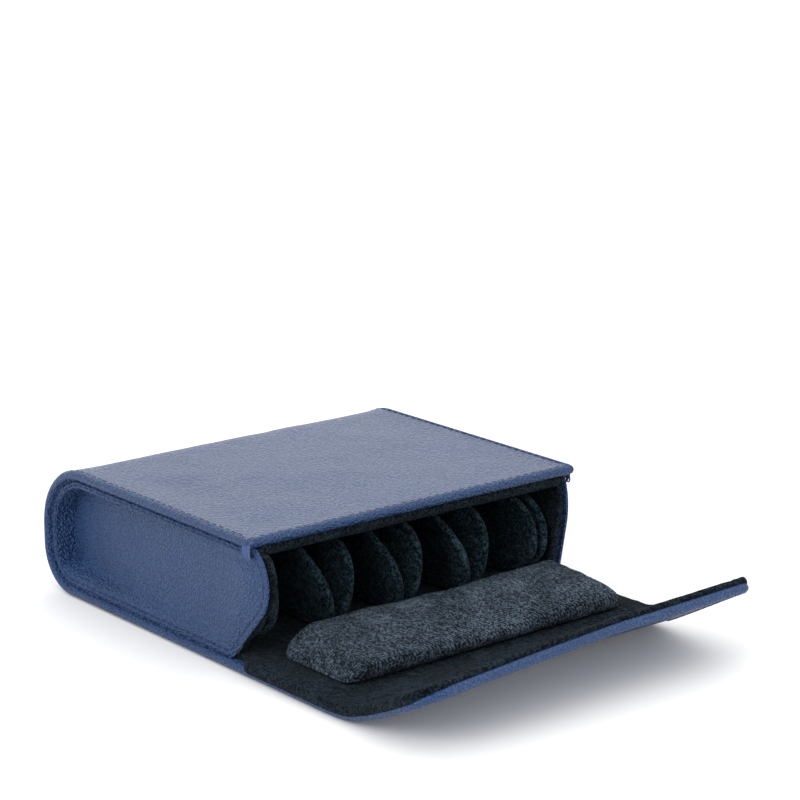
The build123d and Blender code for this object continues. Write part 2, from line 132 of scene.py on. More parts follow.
LEAF_FLARE = {"left": 4.0 * MM, "right": -1.2 * MM}
LEAF_CARD_INSET = 2.2 * MM
PAD_SHRINK = 1.4 * MM         # the block starts this much smaller than the pad, and swells
PAD_BEVEL = 4 * MM
PAD_VOXEL = 1.9 * MM
PAD_SWELL = 2.2 * MM          # the most that a point may move as the foam fills the pad
FOAM_PRESSURE = 4
FOAM_STEPS = 20
KNOT_LOOPS = 8
KNOT_ENDS = 5


# ---- shader expressions --------------------------------------------------------------------------
class Wire:
    """A node socket that can be used in sums and products."""

    def __init__(self, finish, socket):
        self.finish = finish
        self.socket = socket

    def maths(self, operation, *values):
        return self.finish.node("ShaderNodeMath", {"operation": operation}, *values)

    def __add__(self, other):
        return self.maths("ADD", self, other)

    def __sub__(self, other):
        return self.maths("SUBTRACT", self, other)

    def __rsub__(self, other):
        return self.maths("SUBTRACT", other, self)

    def __mul__(self, other):
        return self.maths("MULTIPLY", self, other)

    def __pow__(self, other):
        return self.maths("POWER", self, other)

    __radd__ = __add__
    __rmul__ = __mul__

    def clamp(self, low=0.0, high=1.0):
        return self.maths("MINIMUM", self.maths("MAXIMUM", self, low), high)

    def sine(self):
        return self.maths("SINE", self)


class Finish:
    """A procedural material round one Principled shader."""

    def __init__(self, name, **constants):
        self.material = bpy.data.materials.new(name)
        self.material.use_nodes = True
        self.tree = self.material.node_tree
        self.shader = next(n for n in self.tree.nodes if n.type == "BSDF_PRINCIPLED")
        for socket, value in constants.items():
            self.shader.inputs[socket.replace("_", " ")].default_value = value

    def node(self, kind, settings, *values, out=0, **named):
        """Adds a node: its settings first, then the values or links of its sockets by place or by name."""
        made = self.tree.nodes.new(kind)
        for name, value in settings.items():
            setattr(made, name, value)
        for key, value in [*enumerate(values), *((n.replace("_", " "), v) for n, v in named.items())]:
            self.put(made.inputs[key], value)
        return Wire(self, made.outputs[out])

    def put(self, socket, value):
        if isinstance(value, Wire):
            self.tree.links.new(value.socket, socket)
        else:
            socket.default_value = value

    def feed(self, **named):
        """Links what varies to the shader."""
        for name, value in named.items():
            self.put(self.shader.inputs[name.replace("_", " ")], value)

    def place(self, stretch=(1, 1, 1)):
        """The point on the object, stretched."""
        point = self.node("ShaderNodeTexCoord", {}, out=3)
        return self.node("ShaderNodeVectorMath", {"operation": "MULTIPLY"}, point, stretch)

    def noise(self, point, scale, detail=2.0, roughness=0.5):
        return self.node(
            "ShaderNodeTexNoise", {}, Vector=point, Scale=scale, Detail=detail, Roughness=roughness
        )

    def cells(self, point, scale, feature="F1"):
        return self.node("ShaderNodeTexVoronoi", {"feature": feature}, Vector=point, Scale=scale)

    def mix(self, share, first, second):
        """A colour between two colours."""
        made = self.tree.nodes.new("ShaderNodeMix")
        made.data_type = "RGBA"
        for socket, value in zip((made.inputs[0], made.inputs[6], made.inputs[7]), (share, first, second)):
            self.put(socket, value)
        return Wire(self, made.outputs[2])

    def bump(self, height, distance, strength=1.0, under=None):
        extra = {"Normal": under} if under else {}
        return self.node("ShaderNodeBump", {}, Height=height, Distance=distance, Strength=strength, **extra)


def paint(red, green, blue):
    return (red, green, blue, 1.0)


# ---- finishes ------------------------------------------------------------------------------------
def pebbled_leather():
    """Slate-blue leather: fine pebble grain, softly clouded colour, a worn paler bloom."""
    finish = Finish(
        "slate_blue_leather", Specular_IOR_Level=0.50, Coat_Weight=0.14, Coat_Roughness=0.38,
    )
    point = finish.place()
    pebble = 1.0 - finish.cells(point, 1050) * 1.5
    fine = finish.noise(point, 1700, 2.0, 0.55)
    wrinkle = finish.noise(point, 520, 3.0, 0.6)
    cloud = finish.noise(point, 38, 3.0, 0.55)
    grain = (pebble * 0.62 + wrinkle * 0.45 + fine * 0.45 - 0.25).clamp()
    tone = (cloud * 0.8 + grain * 1.9 - 1.00).clamp()
    colour = finish.mix(tone, paint(0.005, 0.040, 0.142), paint(0.034, 0.100, 0.275))
    soft = finish.bump(cloud, 0.0009, 0.4)
    finish.feed(
        Base_Color=colour,
        Roughness=(0.52 - grain * 0.20 + cloud * 0.08).clamp(),
        Normal=finish.bump(grain, 0.0016, 1.0, soft),
    )
    return finish.material


def pile_velvet(name, deep, bright, rib=0.0, fine=1.0, lift=1.0):
    """Short-pile velvet: painted shade between the tufts, a painted highlight in a cool tone on the tips with the
    shader's sheen over it, and crushed patches that bump the pile and are painted lighter or darker.

    rib is how close its slanting ribs are, fine how small its tufts, lift how strong its sheen bloom."""
    finish = Finish(name, Roughness=0.95, Specular_IOR_Level=0.08, Sheen_Weight=0.15 * lift, Sheen_Roughness=0.22)
    finish.shader.inputs["Sheen Tint"].default_value = paint(0.45, 0.58, 0.72)
    point = finish.place()
    tufts = finish.noise(point, 1250 * fine, 2.0, 0.65)
    clumps = finish.noise(finish.place((1, 0.6, 1)), 600 * fine, 2.0, 0.6)
    crush_and_painted_sheen = finish.noise(point, 70, 4.0, 0.62)
    height = tufts * 0.75 + clumps * 0.45
    if rib:
        across = finish.node("ShaderNodeSeparateXYZ", {}, point)
        along = finish.node("ShaderNodeSeparateXYZ", {}, point, out=1)
        line = ((across * 0.55 + along * 0.83) * rib + clumps * 5.0).sine() * 0.055
        height = height + line
    # painted highlight and painted shade: tuft tips and crushed patches are coloured towards bright, the gaps
    # between tufts towards deep
    painted_tip_highlight = ((height - 0.54) * 6.0).clamp()
    painted_light_share = (painted_tip_highlight * 0.62 + (crush_and_painted_sheen - 0.52) * 1.1 + painted_tip_highlight * crush_and_painted_sheen * 0.5 - 0.06).clamp()
    finish.feed(
        Base_Color=finish.mix(painted_light_share, paint(*deep), paint(*bright)),
        Normal=finish.bump(height, 0.0030, 1.0, finish.bump(crush_and_painted_sheen, 0.0035, 0.5)),
    )
    return finish.material


def sewing_thread(name, deep, bright):
    """Bonded blue thread with its twist."""
    finish = Finish(name, Roughness=0.65, Specular_IOR_Level=0.3)
    twist = (finish.noise(finish.place((1, 1, 3)), 2600, 1.0) * 1.2).clamp()
    finish.feed(Base_Color=finish.mix(twist, paint(*deep), paint(*bright)))
    return finish.material


def stiffener_card():
    finish = Finish("grey_card", Roughness=0.9, Specular_IOR_Level=0.2)
    point = finish.place()
    pulp = finish.noise(point, 700, 5.0, 0.7)
    finish.feed(
        Base_Color=finish.mix(pulp, paint(0.16, 0.15, 0.14), paint(0.28, 0.27, 0.25)),
        Normal=finish.bump(pulp, 0.0001, 0.4),
    )
    return finish.material


def plated_disc():
    finish = Finish("nickel_plate", Metallic=1.0)
    brushed = finish.noise(finish.place((1, 30, 1)), 900, 2.0)
    finish.feed(
        Base_Color=finish.mix(brushed, paint(0.50, 0.50, 0.52), paint(0.66, 0.66, 0.68)),
        Roughness=(0.22 + brushed * 0.2).clamp(),
    )
    return finish.material


def studio_floor():
    finish = Finish("pale_floor", Roughness=0.9, Specular_IOR_Level=0.1)
    cloud = finish.noise(finish.place(), 3)
    finish.feed(Base_Color=finish.mix(cloud, paint(0.90, 0.90, 0.90), paint(0.92, 0.92, 0.92)))
    return finish.material


LEATHER_FINISH = pebbled_leather()
VELVET_FINISH = pile_velvet(
    "blue_black_velvet", (0.0008, 0.0024, 0.0050), (0.019, 0.034, 0.050), lift=0.6
)
LEAF_FINISH = pile_velvet("divider_velvet", (0.0011, 0.0056, 0.0092), (0.044, 0.092, 0.120), lift=0.7)
PAD_FINISH = pile_velvet(
    "ribbed_pad_velvet", (0.0012, 0.0036, 0.0075), (0.175, 0.235, 0.315), rib=7500.0, fine=1.45, lift=0.8
)
THREAD_FINISH = sewing_thread("navy_thread", (0.006, 0.012, 0.045), (0.022, 0.040, 0.115))
KNOT_FINISH = sewing_thread("blue_thread", (0.022, 0.042, 0.13), (0.08, 0.12, 0.27))
CARD_FINISH = stiffener_card()
MAGNET_FINISH = plated_disc()


# ---- mesh helpers --------------------------------------------------------------------------------
def make_piece(name, points, faces, finish, slot, crease=55):
    """A closed smooth mesh piece; edges sharper than crease degrees stay crisp."""
    mesh = bpy.data.meshes.new(name)
    mesh.from_pydata([tuple(p) for p in np.asarray(points, float).reshape(-1, 3)], [], faces)
    built = bmesh.new()
    built.from_mesh(mesh)
    bmesh.ops.recalc_face_normals(built, faces=built.faces)
    built.to_mesh(mesh)
    built.free()
    mesh.shade_smooth()
    mesh.set_sharp_from_angle(angle=math.radians(crease))
    mesh.materials.append(finish)
    piece = bpy.data.objects.new(name, mesh)
    bpy.context.scene.collection.objects.link(piece)
    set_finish(piece, slot)
    return piece


def grid_faces(rows, columns, first=0, flip=False):
    faces = []
    for row in range(rows - 1):
        for column in range(columns - 1):
            a = first + row * columns + column
            quad = (a, a + 1, a + columns + 1, a + columns)
            faces.append(quad[::-1] if flip else quad)
    return faces


def closed_sheet(outer, inner):
    """Points and faces of a closed sheet between two grids."""
    rows, columns = outer.shape[:2]
    count = rows * columns
    faces = grid_faces(rows, columns) + grid_faces(rows, columns, count, True)
    rim = [c for c in range(columns)]
    rim += [r * columns + columns - 1 for r in range(1, rows)]
    rim += [(rows - 1) * columns + c for c in range(columns - 2, -1, -1)]
    rim += [r * columns for r in range(rows - 2, 0, -1)]
    for here, there in zip(rim, rim[1:] + rim[:1]):
        faces.append((here, here + count, there + count, there))
    return np.concatenate([outer.reshape(-1, 3), inner.reshape(-1, 3)]), faces


def smooth(value):
    value = np.clip(value, 0, 1)
    return value * value * (3 - 2 * value)


def bell(value, width):
    return np.exp(-(value / width) ** 2)


def ripple(first, second, size, seed=0.0):
    """Soft noise from -1 to 1 over a sheet, one value per point."""
    first, second = np.broadcast_arrays(first, second)
    values = [
        noise.noise(Vector((a / size, b / size, seed))) for a, b in zip(first.ravel(), second.ravel())
    ]
    return np.array(values).reshape(first.shape)


# ---- the side line of the leather sheet ----------------------------------------------------------
def unit(vector):
    return vector / np.linalg.norm(vector)


def left_of(vector):
    return np.array([-vector[1], vector[0]])


def turned(vector, angle):
    c, s = math.cos(angle), math.sin(angle)
    return np.array([c * vector[0] - s * vector[1], s * vector[0] + c * vector[1]])


class SideLine:
    """Straight runs joined by arcs in the side view, measured along the leather's outer face."""

    def __init__(self, corners, rounds):
        self.runs = []
        self.starts = []
        self.length = 0.0
        here = corners[0]
        for before, corner, after, radius in zip(corners, corners[1:], corners[2:], rounds):
            ahead, onward = unit(corner - before), unit(after - corner)
            turn = math.acos(np.clip(ahead @ onward, -1, 1))
            arc_start = corner - ahead * radius * math.tan(turn / 2)
            self.add(("line", here, ahead, 0), np.linalg.norm(arc_start - here))
            self.add(("arc", arc_start, ahead, radius), radius * turn)
            here = corner + onward * radius * math.tan(turn / 2)
        ahead = unit(corners[-1] - here)
        self.add(("line", here, ahead, 0), np.linalg.norm(corners[-1] - here))

    def add(self, run, length):
        self.runs.append(run)
        self.starts.append(self.length)
        self.length += length

    def at(self, distance):
        """Point and outward direction at a distance from the top's front edge. Every turn is to the right."""
        index = max(0, np.searchsorted(self.starts, distance, "right") - 1)
        kind, start, ahead, radius = self.runs[index]
        travel = distance - self.starts[index]
        if kind == "line":
            return start + ahead * travel, left_of(ahead)
        centre = start - left_of(ahead) * radius
        return centre + turned(start - centre, -travel / radius), turned(left_of(ahead), -travel / radius)

    def middle(self, number):
        """Distance to the middle of an arc."""
        index = 2 * number + 1
        return (self.starts[index] + self.starts[index + 1]) / 2


def below(point, lift_before, lift_after):
    """The outer-face corner under a fold of the leather's inner face."""
    half = (lift_after - lift_before) / 2
    middle = (lift_before + lift_after) / 2
    return point + np.array([-math.sin(middle), -math.cos(middle)]) * LEATHER / math.cos(half)


LIP_AHEAD = np.array([-math.cos(LIP_LIFT), math.sin(LIP_LIFT)])
LIP_BELOW = np.array([-math.sin(LIP_LIFT), -math.cos(LIP_LIFT)]) * LEATHER
SIDE = SideLine(
    [
        np.array([FRONT, TOP]),
        np.array([BACK, TOP]),
        np.array([BACK, 0.0]),
        below(pivot("fold_hinge"), 0, FOLD_LIFT),
        below(pivot("lip_hinge"), FOLD_LIFT, LIP_LIFT),
        pivot("lip_hinge") + LIP_BELOW + LIP_AHEAD * LIP_LENGTH,
    ],
    [BACK_TOP_ROUND, BACK_BASE_ROUND, FOLD_ROUND, LIP_ROUND],
)
BASE_START = SIDE.starts[4]                 # where the base's straight run begins
BASE_START_Y = SIDE.runs[4][1][0]


def along_base(y):
    return BASE_START + BASE_START_Y - y


AT_HINGE = along_base(pivot("front_hinge")[0])
AT_FOLD = SIDE.middle(2)
AT_LIP = SIDE.middle(3)
CUTS = [AT_HINGE - 10 * MM, AT_HINGE + 24 * MM, (AT_FOLD + AT_LIP) / 2]


# ---- sheets that follow the side line ------------------------------------------------------------
DROOP = 5.0 * MM             # how far the lip's left corner hangs down
LIFT = 1.2 * MM              # how far its right corner stands up


def droop(across, along):
    """The flap's end is soft: its left side stays on the table longer, its right corner stands up a little."""
    across, along = np.broadcast_arrays(np.asarray(across, float), np.asarray(along, float))
    height = np.array([SIDE.at(v)[0][1] for v in along.ravel()]).reshape(along.shape)
    height = np.where(along > AT_FOLD - 6 * MM, np.clip(height, 0, None), 0)
    left = np.clip((12 * MM - across) / (HALF + 12 * MM), 0, 1) ** 1.2
    right = np.clip((across - 5 * MM) / (HALF - 5 * MM), 0, 1) ** 1.3
    reach = smooth((along - AT_LIP) / (SIDE.length - AT_LIP))
    return DROOP * (1 - np.exp(-height / DROOP)) * left - LIFT * reach * right


def laid_under(x, along, depth):
    """Points in space from places across and along the side line, at depths below the outer leather."""
    out = np.empty(x.shape + (3,))
    for index in np.ndindex(x.shape):
        (y, z), (ny, nz) = SIDE.at(along[index])
        out[index] = (x[index], y - ny * depth[index], z - nz * depth[index])
    return out


class Sheet:
    """A sheet with rolled edges that follows the side line.

    face is the depth of its shown face below the outer leather, side is 1 if it shows outwards and -1 inwards,
    roll is the radius of its edge, and relief(x, along, edge, bearing) lifts the shown face."""

    def __init__(self, face, side, roll, half_at, ends, corners, relief):
        self.face, self.side, self.roll = face, side, roll
        self.half_at, self.ends, self.corners, self.relief = half_at, ends, corners, relief

    def place(self, across, along):
        """Where unrolled coordinates lie: across, along the side line, and how deep below the outer leather."""
        first = along < (self.ends[0] + self.ends[1]) / 2
        corner = np.where(first, self.corners[0], np.where(across > 0, self.corners[2], self.corners[1]))
        half = self.half_at(along)
        flat = corner - self.roll
        a = np.abs(across) - (half - corner)
        b = np.where(first, self.ends[0] + corner - along, along - self.ends[1] + corner)
        reach = np.maximum(a, b)
        edge = reach - flat
        angle = np.clip(edge / self.roll, 0, math.pi)
        radial = np.where(edge <= 0, reach, flat + self.roll * np.sin(angle))
        radial = radial - np.maximum(edge - math.pi * self.roll, 0)
        drop = self.roll * (1 - np.cos(angle))
        in_corner = (a > 0) & (b > 0)
        big, small = np.maximum(a, b), np.minimum(a, b)
        share = np.where(in_corner, small / np.where(in_corner, big, 1), 0)
        bearing = np.where(a >= b, math.pi / 4 * share, math.pi / 2 - math.pi / 4 * share)
        x = np.where(a > 0, half - corner + radial * np.cos(bearing), np.abs(across))
        x = np.where((b > 0) & (a <= 0), np.abs(across), x) * np.sign(across)
        travel = np.where(b > 0, radial * np.sin(bearing), np.minimum(b, 0))
        travel = np.where((b > 0) & (a <= 0), radial, travel)
        place = np.where(first, self.ends[0] + corner - travel, self.ends[1] - corner + travel)
        bearing = np.where(b <= 0, 0.0, np.where(a <= 0, math.pi / 2, bearing))
        depth = self.face + self.side * (drop - self.relief(x, place, edge, bearing))
        return x, place, depth - droop(x, place)

    def points(self, across, along):
        across, along = np.broadcast_arrays(across, along)
        return laid_under(*self.place(across.astype(float), along.astype(float)))


def edge_steps(roll, back, rolled, inner):
    """Distances past the flat part: along the rolled edge, then inwards."""
    around = [math.pi * roll * k / rolled for k in range(rolled + 1)]
    return sorted({round(v, 7) for v in [*([-v for v in inner]), *around, *back]})


def stations(low, high, steps, roll, centres):
    """Unrolled positions from one edge to the other: fine at the edges and near the folds."""
    ends = [low + roll - step for step in steps[::-1]], [high - roll + step for step in steps]
    first, last = ends[0][-1], ends[1][0]
    marks = [first, *(c for c in CUTS if centres and first < c < last), last]
    inner = [marks[0]]
    for start, stop in zip(marks, marks[1:]):
        here = start
        while here < stop - 1e-6:
            near = min((abs(here - c) for c in centres), default=1.0)
            step = 0.7 * MM if near < 6 * MM else 1.5 * MM if near < 12 * MM else 2 * MM
            here = stop if here + 1.5 * step > stop else here + step
            inner.append(here)
    return np.array(ends[0][:-1] + inner + ends[1][1:])


def surface_normals(grid):
    across = np.gradient(grid, axis=1)
    along = np.gradient(grid, axis=0)
    normal = np.cross(across, along)
    length = np.linalg.norm(normal, axis=2, keepdims=True)
    return normal / np.maximum(length, 1e-12)


def cut_rows(rows, low, high):
    return [i for i, v in enumerate(rows) if low - 1e-7 <= v <= high + 1e-7]


# each part's name, and the two bodies, joint, slope and reach of the fold that it spans
PART_NAMES = ["body", "front_fold", "strip_fold", "lip_fold"]
FOLDS = [
    None,
    ("case", "flap_front", "front_hinge", 0.0, 6 * MM),
    ("flap_front", "flap_fold", "fold_hinge", FOLD_LIFT / 2, 3.4 * MM),
    ("flap_fold", "flap_lip", "lip_hinge", (FOLD_LIFT + LIP_LIFT) / 2, 3.4 * MM),
]


def ride_or_bend(piece, part):
    """The rear part rides on the case; each other part stays as made, its transform baked into its mesh."""
    if FOLDS[part] is None:
        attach(piece, "case")
        return
    first, second, joint, lift, reach = FOLDS[part]
    ahead = np.array([-math.cos(lift), math.sin(lift)]) * reach
    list(pivot(joint) - ahead)
    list(pivot(joint) + ahead)
    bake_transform(piece)


def sheet_parts(base_name, grid, inner, rows, finish, slot, replaced):
    """Cuts one long sheet at CUTS into parts that meet, and gives the rear part to the case."""
    bounds = [rows[0], *CUTS, rows[-1]]
    for part, (low, high) in enumerate(zip(bounds, bounds[1:])):
        picked = cut_rows(rows, low, high)
        name = f"{base_name}_{PART_NAMES[part]}"
        piece = make_piece(name, *closed_sheet(grid[picked], inner[picked]), finish, slot)
        ride_or_bend(piece, part)
        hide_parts(replaced[part])


EDGE_ROLL = SHELL / 2 + 0.08 * MM
LEATHER_STEPS = edge_steps(
    EDGE_ROLL, [math.pi * EDGE_ROLL + v * MM for v in (1.0, 3.2)], 8,
    [v * MM for v in (0.3, 0.6, 0.9, 1.2, 1.6, 2.2, 3.2, 4.6, 6.1, 7.7, 9.6, 11.6)],
)


def on_base(along):
    """1 where the leather rests on the table, 0 elsewhere."""
    return smooth((along - BASE_START) / (3 * MM)) * smooth((AT_FOLD - 5 * MM - along) / (3 * MM))


def leather_relief(x, along, edge, bearing):
    """Puffed edge, stitched groove and the soft dents of a used cover."""
    turned_under = edge >= 0.6 * MM
    puff = np.where(turned_under, bell(edge - 0.6 * MM, 1.2 * MM) * 0.2, bell(edge + 0.15 * MM, 0.6 * MM))
    groove = 0.20 * MM * bell(edge + SEAM_IN - EDGE_ROLL, 0.34 * MM)
    inward = smooth((-edge - 1.5 * MM) / (12 * MM))
    shown = 1 - smooth((along - BASE_START + 12 * MM) / (10 * MM))
    flap = smooth((along - AT_FOLD) / (10 * MM))
    dents = 0.40 * ripple(x, along, 26 * MM, 3.1) + 0.22 * ripple(x, along, 11 * MM, 7.7) - 0.1
    dents = dents - 0.6 * bell(x + 52 * MM, 7 * MM) * bell(along - 62 * MM, 16 * MM)
    crown = 0.35 * (1 - (x / HALF) ** 2)
    soft = np.maximum(shown * (dents + crown - 0.25) + 0.35 * flap * dents, -0.72)
    return 0.32 * MM * puff * (1 - on_base(along)) - groove + inward * MM * soft


def leather_sheet():
    """The whole leather sheet, turned round its boards at every edge."""
    sheet = Sheet(
        0.0, 1, EDGE_ROLL, lambda along: np.full(np.shape(along), HALF), (0.0, SIDE.length),
        (COVER_CORNER, LIP_CORNER, LIP_CORNER_RIGHT), leather_relief,
    )
    columns = stations(-HALF, HALF, LEATHER_STEPS, EDGE_ROLL, [])
    rows = stations(0.0, SIDE.length, LEATHER_STEPS, EDGE_ROLL, [AT_HINGE, AT_FOLD, AT_LIP])
    grid = sheet.points(columns[None, :], rows[:, None])
    normal = surface_normals(grid)
    row, column = grid.shape[0] // 4, grid.shape[1] // 2
    outwards = 1 if grid[row, column][2] > TOP / 2 else -1
    flip = 1 if normal[row, column][2] * outwards > 0 else -1
    inner = grid - normal * flip * LEATHER * 0.9
    replaced = ["cover_leather", "front_leather", "fold_leather", "lip_leather"]
    sheet_parts("leather", grid, inner, rows, LEATHER_FINISH, "leather", replaced)
    return sheet


def lining_relief(x, along, edge, bearing):
    """The velvet puffs at its edges, sinks in the soft fold strip and swells along the lip."""
    in_strip = bell(along - (AT_FOLD + AT_LIP) / 2, 7 * MM)
    on_flap = smooth((along - AT_HINGE) / (6 * MM))
    on_lip = smooth((along - AT_LIP) / (8 * MM))
    band = bell(edge + 3.5 * MM, 3.4 * MM)
    lump = (0.30 * ripple(x, along, 9 * MM, 1.3) + 0.26 * ripple(x, along, 3.0 * MM, 5.9)) * (1 - 0.4 * on_lip)
    fuzz = 0.22 * ripple(x, along, 0.9 * MM, 2.9)
    inside = smooth(-edge / (2 * MM))
    valance = 2.3 * bell(edge + 1.6 * MM, 2.4 * MM) * (1 - smooth((along - 8 * MM) / (8 * MM)))
    hang = 1.3 * on_flap * np.cos(bearing) ** 2 * smooth((edge - 0.4 * MM) / (2.4 * MM))
    crease = 0.7 * bell(along - AT_LIP - 1.5 * MM - 2 * MM * ripple(x, 0 * x, 30 * MM, 6.6), 1.3 * MM) * inside
    lift = (0.7 * band - 1.1 * inside) * on_lip + 0.5 * band * on_flap * (1 - on_lip) + valance + 0.6 * crease
    lift = lift - 1.1 * in_strip * inside - hang
    return MM * (lift + lump * (0.4 + 0.6 * inside) + fuzz * on_flap)


def velvet_sheet():
    """Velvet over the inside of top, back, base and flap."""
    roll = VELVET / 2 * 1.08

    def half_at(along):
        return LINING_HALF + (FLAP_VELVET_HALF - LINING_HALF) * smooth((along - AT_HINGE + 1 * MM) / (5 * MM))

    sheet = Sheet(
        STACK, -1, roll, half_at, (VELVET_INSET, SIDE.length - VELVET_INSET),
        (COVER_CORNER, LIP_CORNER - 1 * MM, LIP_CORNER_RIGHT - 1 * MM), lining_relief,
    )
    steps = edge_steps(roll, [], 7, [v * MM for v in (0.5, 1.0, 1.6, 2.4, 3.4, 4.6, 6.0, 7.6, 9.4, 11.4)])
    steps = [s for s in steps if s < math.pi * roll * 0.93]
    columns = stations(-FLAP_VELVET_HALF, FLAP_VELVET_HALF, steps, roll, [])
    rows = stations(VELVET_INSET, SIDE.length - VELVET_INSET, steps, roll, [AT_HINGE, AT_FOLD, AT_LIP])
    narrow = (FLAP_VELVET_HALF - half_at(rows))[:, None] * np.sign(columns)[None, :]
    across = columns[None, :] - narrow * smooth(np.abs(columns) / HALF * 4 - 2)[None, :]
    along = np.broadcast_to(rows[:, None], across.shape)
    x, place, _ = sheet.place(across, along)
    backing = laid_under(x, place, SHELL - droop(x, place))
    replaced = ["body_lining", "front_lining", "fold_lining", "lip_lining"]
    sheet_parts("velvet", sheet.points(across, along), backing, rows, VELVET_FINISH, "velvet", replaced)


def on_lip(node):
    """A node's points, and how far each lies ahead of the lip's fold."""
    cloud = np.array([v.co for v in frame["nodes"][node].data.vertices])
    return cloud, (cloud[:, 1:] - pivot("lip_hinge")) @ LIP_AHEAD


def lip_card():
    """The lip's stiffener, which gives with the hanging corner."""
    _, reach = on_lip("lip_board")
    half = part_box("lip_board")[1].x
    start, stop = AT_LIP + reach.min(), SIDE.length - (LIP_LENGTH - reach.max())
    radius = LIP_CORNER - 1 * MM
    rows = np.linspace(start, stop, 25)
    rows = np.concatenate([rows[:-5], stop - radius + radius * np.sin(np.linspace(0.2, math.pi / 2, 9))])
    rows = np.unique(np.clip(rows, start, stop))
    past = np.clip(rows - (stop - radius), 0, radius)
    widths = half - radius + np.sqrt(np.maximum(radius ** 2 - past ** 2, (0.3 * MM) ** 2))
    across = widths[:, None] * np.linspace(-1, 1, 41)[None, :]
    along = np.broadcast_to(rows[:, None], across.shape)
    faces_of_card = [laid_under(across, along, deep - droop(across, along)) for deep in (LEATHER, SHELL)]
    piece = make_piece("lip_stiffener", *closed_sheet(*faces_of_card), CARD_FINISH, "card", 40)
    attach(piece, "flap_lip")
    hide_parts("lip_board")


def lip_disc(node):
    """A magnet of the lip: a thin disc with softened edges that gives with its card."""
    cloud, reach = on_lip(node)
    depth = LEATHER - (cloud[:, 1:] - pivot("lip_hinge")) @ (LIP_BELOW / LEATHER)
    middle = np.array([(cloud[:, 0].min() + cloud[:, 0].max()) / 2, AT_LIP + (reach.min() + reach.max()) / 2])
    softened = 0.2 * MM
    rings = [softened / 2, softened, softened * 2]
    flat, far, faces = plate(arc(middle, np.ptp(reach) / 2, 0, 360), rings, 2 * MM)
    bevel = softened - rounded(far, softened)

    def to_space(points, deep):
        return laid_under(points[:, 0], points[:, 1], deep - droop(*middle))

    sides = two_sided(flat, far, faces, depth.min() + bevel, depth.max() - bevel, to_space)
    disc = make_piece(node + "_disc", *sides, MAGNET_FINISH, "magnet", 30)
    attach(disc, "flap_lip")
    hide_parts(node)


# ---- flat-lying plates with rounded rims: gussets and divider leaves ------------------------------
def arc(centre, radius, start, stop, step=0.9 * MM):
    """Points along an arc in the side view, from start to stop degrees, without its last point."""
    count = max(2, round(abs(math.radians(stop - start)) * radius / step))
    angles = np.radians(start + (stop - start) * np.arange(count) / count)
    return np.stack([centre[0] + radius * np.cos(angles), centre[1] + radius * np.sin(angles)], axis=1)


def straight(start, stop, step=0.9 * MM):
    start, stop = np.array(start), np.array(stop)
    count = max(1, round(np.linalg.norm(stop - start) / step))
    return start + (stop - start) * (np.arange(count) / count)[:, None]


def gusset_outline(inset, front_inset, slope):
    """Side view of a gusset, anticlockwise: the case's own outline closed by a round nose in front."""
    top, low, back = TOP - inset, inset, BACK - inset
    r_top, r_low = BACK_TOP_ROUND - inset, BACK_BASE_ROUND - inset
    radius = NOSE_ROUND - front_inset
    centre = (FRONT + NOSE_ROUND - NOSE_FORWARD, TOP - NOSE_ROUND)
    start = 180 - math.degrees(math.asin((top - centre[1]) / radius))
    top_y = centre[0] + radius * math.cos(math.radians(start))
    touch = (centre[0] - radius * math.sin(slope), centre[1] - radius * math.cos(slope))
    foot = (touch[0] + (touch[1] - low) / math.tan(slope), low)
    return np.concatenate([
        straight(foot, (back - r_low, low)),
        arc((back - r_low, low + r_low), r_low, -90, 0),
        straight((back, low + r_low), (back, top - r_top)),
        arc((back - r_top, top - r_top), r_top, 0, 90),
        straight((back - r_top, top), (top_y, top)),
        arc(centre, radius, start, 270 - math.degrees(slope)),
        straight(touch, foot),
    ])


def edge_distance(points, outline):
    """How far each point lies inside an outline."""
    a, b = outline, np.roll(outline, -1, axis=0)
    best = np.full(len(points), 1e9)
    for start, stop in zip(a, b):
        run = stop - start
        share = np.clip((points - start) @ run / (run @ run), 0, 1)
        best = np.minimum(best, np.linalg.norm(points - start - share[:, None] * run, axis=1))
    return best


def inward_of(outline):
    """Unit directions into an anticlockwise outline, one at each of its points."""
    ahead = np.roll(outline, -1, axis=0) - np.roll(outline, 1, axis=0)
    inward = np.stack([-ahead[:, 1], ahead[:, 0]], axis=1)
    return inward / np.linalg.norm(inward, axis=1, keepdims=True)


def without_doubles(outline):
    """The outline without points that fall on their neighbour."""
    return outline[np.linalg.norm(outline - np.roll(outline, 1, axis=0), axis=1) > 0.02 * MM]


def rounded(far, radius):
    """How high a round rim of a radius stands at a distance inside the outline."""
    return radius * np.sqrt(1 - np.clip(1 - far / radius, 0, 1) ** 2)


def plate(outline, insets, spacing):
    """A fine flat mesh inside a convex outline: rings along its rim and an even fill.

    Returns its points, their distance from the outline, and its triangles."""
    inward = inward_of(outline)
    rings = []
    for inset in insets:
        ring = outline + inward * inset
        far = edge_distance(ring, outline)
        rings.append(ring[np.abs(far - inset) < 0.02 * inset + 1e-6])
    low, high = outline.min(0), outline.max(0)
    fill = np.stack(np.meshgrid(
        np.arange(low[0], high[0], spacing), np.arange(low[1], high[1], spacing), indexing="ij"
    ), axis=-1).reshape(-1, 2)
    fill[::2, 1] += spacing * 0.17
    centre = outline.mean(0)
    within = np.ones(len(fill), bool)
    for start, stop in zip(outline, np.roll(outline, -1, axis=0)):
        run = stop - start
        within &= (run[0] * (fill[:, 1] - start[1]) - run[1] * (fill[:, 0] - start[0])) > 0
    fill = fill[within]
    fill = fill[edge_distance(fill, outline) > insets[-1] + spacing * 0.6]
    points = np.concatenate([outline, *rings, fill]) - centre
    scale = 1 / MM
    rim = [(i, (i + 1) % len(outline)) for i in range(len(outline))]
    made = delaunay_2d_cdt([Vector(p * scale) for p in points], rim, [], 0, 1e-5)
    flat = np.array([tuple(v) for v in made[0]]) / scale + centre
    return flat, edge_distance(flat, outline), [tuple(f) for f in made[2]]


